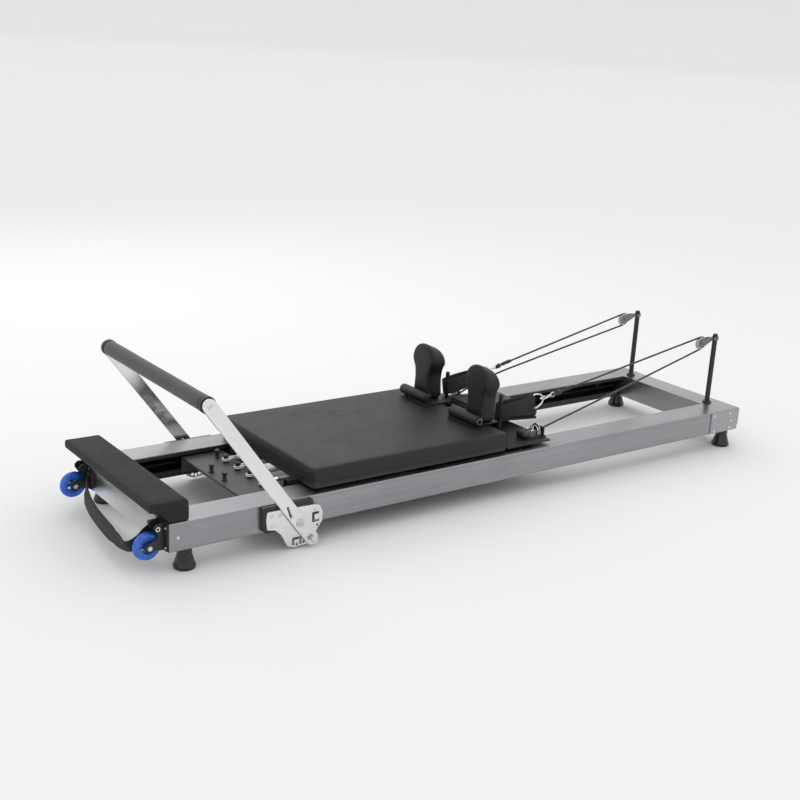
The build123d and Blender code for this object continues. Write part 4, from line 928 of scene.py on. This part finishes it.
def make_platform_skin():
    low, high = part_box("platform_cover")
    beam_top = RAIL_TOP + 0.0004
    lower = RAIL_TOP + 0.0405
    back, front, top = high.x, low.x, high.z
    corners = [(front, lower), (front, top), (back, top), (back, beam_top), (FOOT_END, beam_top)]
    line = softened([*corners, (FOOT_END, lower)], [0.003, 0.004, 0.016, 0.002, 0.002, 0.002])[::-1]
    half = high.y - 0.0012
    shape = rounded_slab(line, -half, half, 0.003, lambda u, v, w: Vector((u, w, v)))
    skin = stuffed(
        "platform_skin", shape, "platform", 0.0045, 0.0007,
        lambda co: co[:, 2] < lower + 0.002,
    )

    def seam(co):
        return np.where(co[:, 2] > lower + 0.004, np.abs(np.abs(co[:, 1]) - (half - 0.020)), 1.0)

    groove(skin, seam, 0.0024, 0.0009)
    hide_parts("platform_cover")
    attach(skin, "frame")
    rows = []
    for side in (-1, 1):
        for inset in (0.0155, 0.0245):
            y = side * (half - inset)
            path = [(front + 0.006, y, top - 0.0002), (back - 0.016, y, top - 0.0002)]
            rows.append(stitches([Vector(p) for p in path], (0, 0, 1)))
    place_piece("platform_stitching", join_parts(rows), "thread", "frame")


def make_grip():
    low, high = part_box("grip_foam")
    centre_x, centre_z = (low.x + high.x) / 2, (low.z + high.z) / 2
    radius, half = (high.x - low.x) / 2, (high.y - low.y) / 2 - 0.0003
    bore = 0.0154
    rings = 110
    outer = [(2 * half * k / rings, radius) for k in range(1, rings)]
    profile = [(0.0, bore), (0.0, radius - 0.005), (0.0015, radius - 0.0014)] + outer
    profile += [(2 * half - 0.0015, radius - 0.0014), (2 * half, radius - 0.005), (2 * half, bore)]
    verts, faces, uvs = turned(profile, (centre_x, -half, centre_z), (0, 1, 0), 48)
    for i, v in enumerate(verts):
        out = Vector((v.x - centre_x, 0, v.z - centre_z))
        if out.length > radius * 0.85:
            turn = math.atan2(out.z, out.x)
            dent = 0.35 * math.sin(2 * turn + v.y * 9) + 0.3 * math.sin(3 * turn - v.y * 23)
            dent += 0.2 * math.sin(v.y * 47 + turn)
            verts[i] = v - out.normalized() * 0.00035 * (dent + 0.85)
    grip = place_piece("foam_grip", (verts, faces, uvs), "foam", "footbar", "grip_foam")


# ------------------------------------------------------------------ webbing
def band(points, width, thick, across, bulge=0.0):
    """A flat strap along the line: width lies along the given axis."""
    half, skin = width / 2, thick / 2
    lower = [
        (-half, -skin * 0.45), (-half + skin * 0.7, -skin), (-half * 0.5, -skin - bulge), (0, -skin - bulge),
        (half * 0.5, -skin - bulge), (half - skin * 0.7, -skin), (half, -skin * 0.45),
    ]
    outline = mirrored(lower)
    return sweep(points, lambda i: outline, across)


def mirrored(half, middle=()):
    """A route that comes back on the other side of its middle plane."""
    return half + list(middle) + [(x, -y) for x, y in reversed(half)]


def loop_frame(name):
    """Origin at the loop's peg, its direction, its upward axis and its reach to the D-ring."""
    end = LINE_ENDS[name][0]
    start = (1322.0, end[1], PEG_MIDDLE[name])
    run = Vector((at(end[0]) - at(start[0]), 0, (end[2] - start[2]) / 1000)).normalized()
    origin = Vector((at(start[0]), start[1] / 1000, up(start[2])))
    reach = (end[0] - start[0]) / 1000 / run.x
    return origin, run, Vector((-run.z, 0, run.x)), reach


def make_loops():
    for name, _ in SIDES:
        origin, run, above, reach = loop_frame(name)

        def spot(d, y, h=0.0):
            """A place by its distance past the D-ring, across and height over the loop's middle."""
            return origin + run * (reach + d) + above * h + Vector((0, y, 0))

        half = [(-0.004, 0.0036), (-0.040, 0.0085)]
        half += [(x - reach, y) for x, y in ((0.050, 0.0185), (0.002, 0.0165), (-0.0135, 0.0115))]
        tab_half = [(-0.046, 0.0102), (-0.020, 0.0068), (-0.004, 0.0050), (0.0035, 0.0036)]
        turn_back = [(0.0056, 0.0)]
        for piece_name, route, step, size, stands_for in (
            (f"webbing_loop_{name}", mirrored(half), 0.004, (0.053, 0.0036, above, 0.0003), f"loop_{name}"),
            (f"loop_tab_{name}", mirrored(tab_half, turn_back), 0.002, (0.044, 0.0018, above), None),
        ):
            strap = band(smooth_line([spot(*p) for p in route], step), *size)
            place_piece(piece_name, strap, "webbing", "carriage", stands_for)
        ends, edges = (-0.043, -0.012), (-0.019, 0.019)
        box = [((ends[0], edges[0]), (ends[0], edges[1])), ((ends[1], edges[0]), (ends[1], edges[1]))]
        box += [((ends[0], edges[1]), (ends[1], edges[1])), ((ends[0], edges[0]), (ends[1], edges[0]))]
        box += [((ends[0], edges[0]), (ends[1], edges[1])), ((ends[0], edges[1]), (ends[1], edges[0]))]
        rows = []
        for face in (-1, 1):
            for a, b in box:
                path = [spot(d, face * (0.0109 - (d + 0.046) / 0.042 * 0.0046), h) for d, h in (a, b)]
                rows.append(stitches(path, (0, face, 0)))
        place_piece(f"loop_stitching_{name}", join_parts(rows), "thread", "carriage")


STRAP_TWIST = math.radians(34)


def ease(value):
    """From 0 to 1, with soft ends."""
    t = min(1.0, max(0.0, value))
    return t * t * (3 - 2 * t)


def make_strap():
    lean = math.radians(22)
    route = [
        (-8, 216), (-26, 215), (-57, 155), (-77, 78), (-88, 0), (-97, -100), (-101, -190), (-99, -239),
        (-60, -238), (-28, -217), (-8, -216),
    ]
    along, above = Vector((math.cos(lean), 0, math.sin(lean))), Vector((-math.sin(lean), 0, math.cos(lean)))
    origin = Vector((FOOT_END, 0, up(-41)))
    line = smooth_line([origin + along * x / 1000 + Vector((0, y / 1000, 0)) for x, y in route], 0.004)

    def outline(i):
        share = i / (len(line) - 1)
        sleeve = 1 / (1 + math.exp(-(share - 0.16) * 90)) * (1 / (1 + math.exp((share - 0.66) * 90)))
        half, skin = 0.0185 + 0.0040 * sleeve, 0.0022 + 0.0010 * sleeve
        twist = STRAP_TWIST * ease(share / 0.10) * ease((0.84 - share) / 0.12)
        turn_cos, turn_sin = math.cos(twist), math.sin(twist)
        flat = mirrored([
            (-half, -skin * 0.4), (-half + skin * 0.7, -skin), (0, -skin * 1.06), (half - skin * 0.7, -skin),
            (half, -skin * 0.4),
        ])
        return [(a * turn_cos - b * turn_sin, a * turn_sin + b * turn_cos) for a, b in flat]

    strap = sweep(line, outline, above)
    place_piece("carry_handle", strap, "webbing", "frame", "carry_strap")


# ------------------------------------------------------------------ ropes and their fittings
ROPE_RADIUS = 0.0035
LINE_ENDS = {
    "near": ((1474.0, -150.0, 106.0), (1588.0, -156.0, 129.5)),
    "far": ((1474.0, 150.0, 128.0), (1568.0, 157.0, 147.5)),
}
PEG_MIDDLE = {"near": 96.0, "far": 103.0}
SLEEVE_SPANS = {"near": (1606.0, 1656.0), "far": (1580.0, 1630.0)}
# Along, across and rise, from the cleat round the pulley and back to the hook.
ROPE_ROUTES = {
    "near": [
        (1446.0, -228.0, 36.0), (1545.0, -225.0, 58.0), (1813.0, -215.0, 117.0), (2233.7, -205.0, 217.6),
        (2274.5, -204.0, 227.4), (2282.3, -204.0, 252.9), (2264.2, -204.0, 272.7), (2223.2, -201.2, 264.0),
        (1800.0, -172.0, 174.4), (1588.0, -156.0, 129.5),
    ],
    "far": [
        (1446.0, 228.0, 36.0), (1540.0, 222.0, 80.0), (1813.0, 213.0, 136.5), (2232.5, 204.8, 218.5),
        (2273.7, 204.0, 226.6), (2282.5, 204.0, 252.0), (2265.1, 204.0, 272.4), (2223.8, 201.2, 265.0),
        (1790.0, 172.0, 187.3), (1568.0, 157.0, 147.5),
    ],
}
STRANDS = 8
STRAND_TURN = 0.62
ROPE_STEP = 0.0022


def rope_section(i):
    """A braid's outline: two sets of strands that cross, as a relief that turns along the rope."""
    outline = []
    for k in range(24):
        turn = 2 * math.pi * k / 24
        right = math.sin(STRANDS * turn / 2 + i * STRAND_TURN)
        left = math.sin(STRANDS * turn / 2 - i * STRAND_TURN)
        radius = ROPE_RADIUS * (0.935 + 0.075 * max(abs(right), abs(left)))
        outline.append((radius * math.cos(turn), radius * math.sin(turn)))
    return outline


def make_ropes():
    for name, _ in SIDES:
        route = [Vector((at(a), y / 1000, up(z))) for a, y, z in ROPE_ROUTES[name]]
        points, marks = spaced(spline_points(route), ROPE_STEP)
        body = sweep(points, rope_section, (0, 1, 0))
        rope = place_piece(f"braided_rope_{name}", body, "rope", None, f"rope_{name}")
        low, high = SLEEVE_SPANS[name]
        stretch = [p for p, m in zip(points, marks) if m > marks[-1] / 2 and at(low) < p.x < at(high)]

        def sheath(i):
            end = min(i, len(stretch) - 1 - i) * ROPE_STEP
            radius = 0.0042 + 0.0022 * min(1.0, end / 0.004) + 0.00012 * math.sin(i * 1.9)
            return ring_outline(radius, 16)

        cover = sweep(stretch, sheath, (0, 1, 0))
        # Both sheaths stand for the one node, which the near one names.
        stands_for = "rope_sleeves" if name == "near" else None
        sleeve = place_piece(f"rope_sheath_{name}", cover, "rubber", None, stands_for)
        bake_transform(rope)
        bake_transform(sleeve)


def line_end(name):
    """A rope end's frame: its direction, its upward and crosswise axes, the length from the D-ring
    to the rope's end, and spot(), which places a point by its distances along those axes."""
    start, end = (Vector((at(a), y / 1000, up(z))) for a, y, z in LINE_ENDS[name])
    run = (end - start).normalized()
    across = run.cross(Vector((0, 0, 1))).normalized()
    above = across.cross(run)

    def spot(d, h, s=0.0):
        return start + run * d + above * h + across * s

    return run, above, across, (end - start).length, spot


def make_d_ring(name):
    _, _, across, _, spot = line_end(name)
    half = 0.0265
    path = [(0.0005, h) for h in np.linspace(-half + 0.003, half - 0.003, 9)]
    path += [
        (0.0005 + 0.0420 * math.sin(a), half * math.cos(a)) for a in np.linspace(0.18, math.pi - 0.18, 26)
    ]
    ring = wire([spot(*p) for p in path], 0.0026, across, True)
    place_piece(f"d_ring_{name}", ring[:2], "bright", "carriage")


def make_snap_hook(name):
    run, above, across, _, spot = line_end(name)
    bend = [
        (0.066, 0.0), (0.0615, 0.0042), (0.055, 0.0064), (0.046, 0.0072), (0.0395, 0.0064),
        (0.0345, 0.0034), (0.0330, -0.0008), (0.0350, -0.0052), (0.0400, -0.0078), (0.0450, -0.0080),
    ]
    hook = wire(smooth_line([spot(d, 0.0, h) for d, h in bend], 0.0012), 0.0023, above)
    spring_gate = [(0.0440, -0.0078), (0.0520, -0.0074), (0.0600, -0.0050), (0.0655, -0.0008)]
    gate = wire(smooth_line([spot(d, 0.0, h) for d, h in spring_gate], 0.0012), 0.0015, above)
    knob_profile = softened([(0, 0.0001), (0, 0.0026), (0.0055, 0.0018), (0.0055, 0.0001)], 0.0008)
    knob = turned(knob_profile, spot(0.0535, 0, -0.0070), -across + run * 0.25, 20)
    barrel_profile = softened([
        (0.0, 0.0001), (0.0, 0.0048), (0.004, 0.0048), (0.0046, 0.0036), (0.0066, 0.0036),
        (0.0072, 0.0050), (0.0125, 0.0046), (0.0135, 0.0001),
    ], 0.0007)
    barrel = turned(barrel_profile, spot(0.0645, 0), run, 28)
    around = np.linspace(0, 2 * math.pi, 29)[:-1]
    eye_path = [spot(0.0855 + 0.0088 * math.cos(a), 0.0080 * math.sin(a)) for a in around]
    eye = wire(eye_path, 0.0019, across, True)
    # Both hooks stand for the one node, which the near one names.
    stands_for = "line_hooks" if name == "near" else None
    snap = join_parts([hook, gate, knob, barrel, eye])
    place_piece(f"snap_hook_{name}", snap, "bright", "carriage", stands_for)


def make_rope_tie(name):
    """The rope's bight through the hook's eye, whipped."""
    run, above, _, total, spot = line_end(name)
    bight = mirrored([
        (total + 0.006, 0.0010), (total - 0.006, 0.0050), (total - 0.016, 0.0062), (0.0925, 0.0040),
    ], [(0.0905, 0.0)])
    knot = [sweep(smooth_line([spot(d, 0, h) for d, h in bight], ROPE_STEP), rope_section, above)]
    for whipping in range(4):
        d = total - 0.011 + whipping * 0.0042
        path = [
            spot(d + 0.0007 * math.sin(a), 0.0062 * math.sin(a), 0.0080 * math.cos(a))
            for a in np.linspace(0, 2 * math.pi, 25)[:-1]
        ]
        knot.append(wire(path, 0.0021, run, True, 10))
    place_piece(f"rope_tie_{name}", join_parts(knot), "rope", "carriage")


def make_springs():
    rows = (-126.0, -48.0, 30.0, 108.0)
    peg, body_start, body_end, bar, rise = 401.0, 447.0, 1134.0, 1160.0, -9.0
    coil_radius, wire_radius, pitch = 0.0067, 0.0013, 0.0034
    coils, hooks = [], []
    turns, steps = int((body_end - body_start) / 1000 / pitch), 10
    tail = [(body_end - 3, 5), (body_end + 6, 1), (body_end + 16, 0), (bar, 0)]
    bow = mirrored([
        (body_start + 8, 3.5), (body_start - 4, 4.5), (body_start - 22, 8.0), (peg + 4, 10.5), (peg - 8, 9.5),
    ], [(peg - 12.5, 0)])
    collar = softened([(0, 0.0002), (0, 0.0078), (0.014, 0.0094), (0.020, 0.0094), (0.020, 0.0002)], 0.0012)
    for y in rows:
        helix = []
        for k in range(turns * steps + 1):
            a = 2 * math.pi * k / steps
            across, above = coil_radius * math.cos(a), coil_radius * math.sin(a)
            helix.append((at(body_start) + pitch * k / steps, y / 1000 + across, up(rise) + above))
        coils.append(wire(helix, wire_radius, (1, 0, 0), count=6))
        line = smooth_line([(at(x), y / 1000, up(rise + lift)) for x, lift in tail], 0.002)
        coils.append(wire(line, 0.0018, (0, 1, 0)))
        for lift in (-2.6, 2.6):
            line = smooth_line([(at(x), (y + dy) / 1000, up(rise - 1.5 + lift)) for x, dy in bow], 0.002)
            hooks.append(wire(line, 0.0019, (0, 0, 1), count=10))
        hooks.append(turned(collar, (at(body_start - 8), y / 1000, up(rise)), (1, 0, 0), 28))
    coil = place_piece("spring_coils", join_parts(coils), "wire", None, "springs")
    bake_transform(coil)
    place_piece("spring_hooks", join_parts(hooks), "bright", "frame")


# ------------------------------------------------------------------ small fittings
def make_bearings():
    def ring(origin, face, inner, outer, depth, edge):
        profile = softened([(0, inner), (0, outer), (depth, outer), (depth, inner)], edge)
        return turned(profile, origin, (0, face, 0))

    for name, _ in SIDES:
        low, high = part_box(f"wheel_hub_{name}")
        centre = (low + high) / 2
        races, shields = [], []
        for face, y in ((-1, low.y), (1, high.y)):
            origin = (centre.x, y - face * 0.0022, centre.z)
            races.append(ring(origin, face, 0.0086, 0.0112, 0.0026, 0.0004))
            races.append(ring(origin, face, 0.0043, 0.0060, 0.0026, 0.0004))
            shields.append(ring(origin, face, 0.0060, 0.0086, 0.0022, 0.0003))
        body = f"wheel_{name}"
        place_piece(f"bearing_races_{name}", join_parts(races), "bright", body)
        place_piece(f"bearing_shields_{name}", join_parts(shields), "rubber", body)


def screw(origin, axis, radius, height):
    """A domed screw head with a socket, standing on its origin."""
    profile = softened([
        (0.0, 0.0001), (0.0, radius), (height * 0.45, radius * 0.97), (height, radius * 0.55),
        (height * 0.45, radius * 0.4), (height * 0.4, 0.0001),
    ], radius * 0.12)
    return turned(profile, origin, axis, 24)


def make_cleat_screws():
    cam_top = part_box("cleat_cams")[1].z
    parts = []
    for _, side in SIDES:
        for across in (-0.012, 0.012):
            parts.append(screw((at(1392), side * 0.230 + across, cam_top), (0, 0, 1), 0.0052, 0.0034))
        for across in (0.0190, -0.0190):
            parts.append(screw((at(1436), side * 0.232 + across, up(20.1)), (0, 0, 1), 0.0040, 0.0026))
    place_piece("cleat_screws", join_parts(parts), "bright", "carriage")


def make_cleat_covers():
    """A low black cover behind each pair of cams, and the wire bails that keep the rope down."""
    covers, bails = [], []
    for _, side in SIDES:
        y = side * 0.231
        outline = rounded_rectangle(0.015, 0.023, 0.008)
        covers.append(rounded_slab(
            outline, up(20.0), up(40.0), 0.007, lambda u, v, w: Vector((at(1362) + u, y + v, w))
        ))
        for along, height in ((1412.0, 0.034), (1421.0, 0.038)):
            half = [(-0.021, 0.0), (-0.021, height * 0.55), (-0.012, height)]
            path = half + [(-across, high) for across, high in reversed(half)]
            line = smooth_line([(at(along), y + across, up(20.0) + high) for across, high in path], 0.0015)
            bails.append(wire(line, 0.0014, (1, 0, 0)))
    place_piece("cleat_covers", join_parts(covers), "black_plastic", "carriage")
    place_piece("cleat_bails", join_parts(bails), "bright", "carriage")


def make_details():
    make_carriage_cushion()
    make_shoulder_cushions()
    make_rolls()
    make_headrest_cushion()
    make_platform_skin()
    make_grip()
    make_loops()
    make_strap()
    make_ropes()
    for name, _ in SIDES:
        make_d_ring(name)
        make_snap_hook(name)
        make_rope_tie(name)
    make_springs()
    make_bearings()
    make_cleat_screws()
    make_cleat_covers()


make_camera()
make_lights()
make_floor()
looks = make_looks()
paint_nodes(looks)
make_details()
scene.view_settings.view_transform = "Standard"
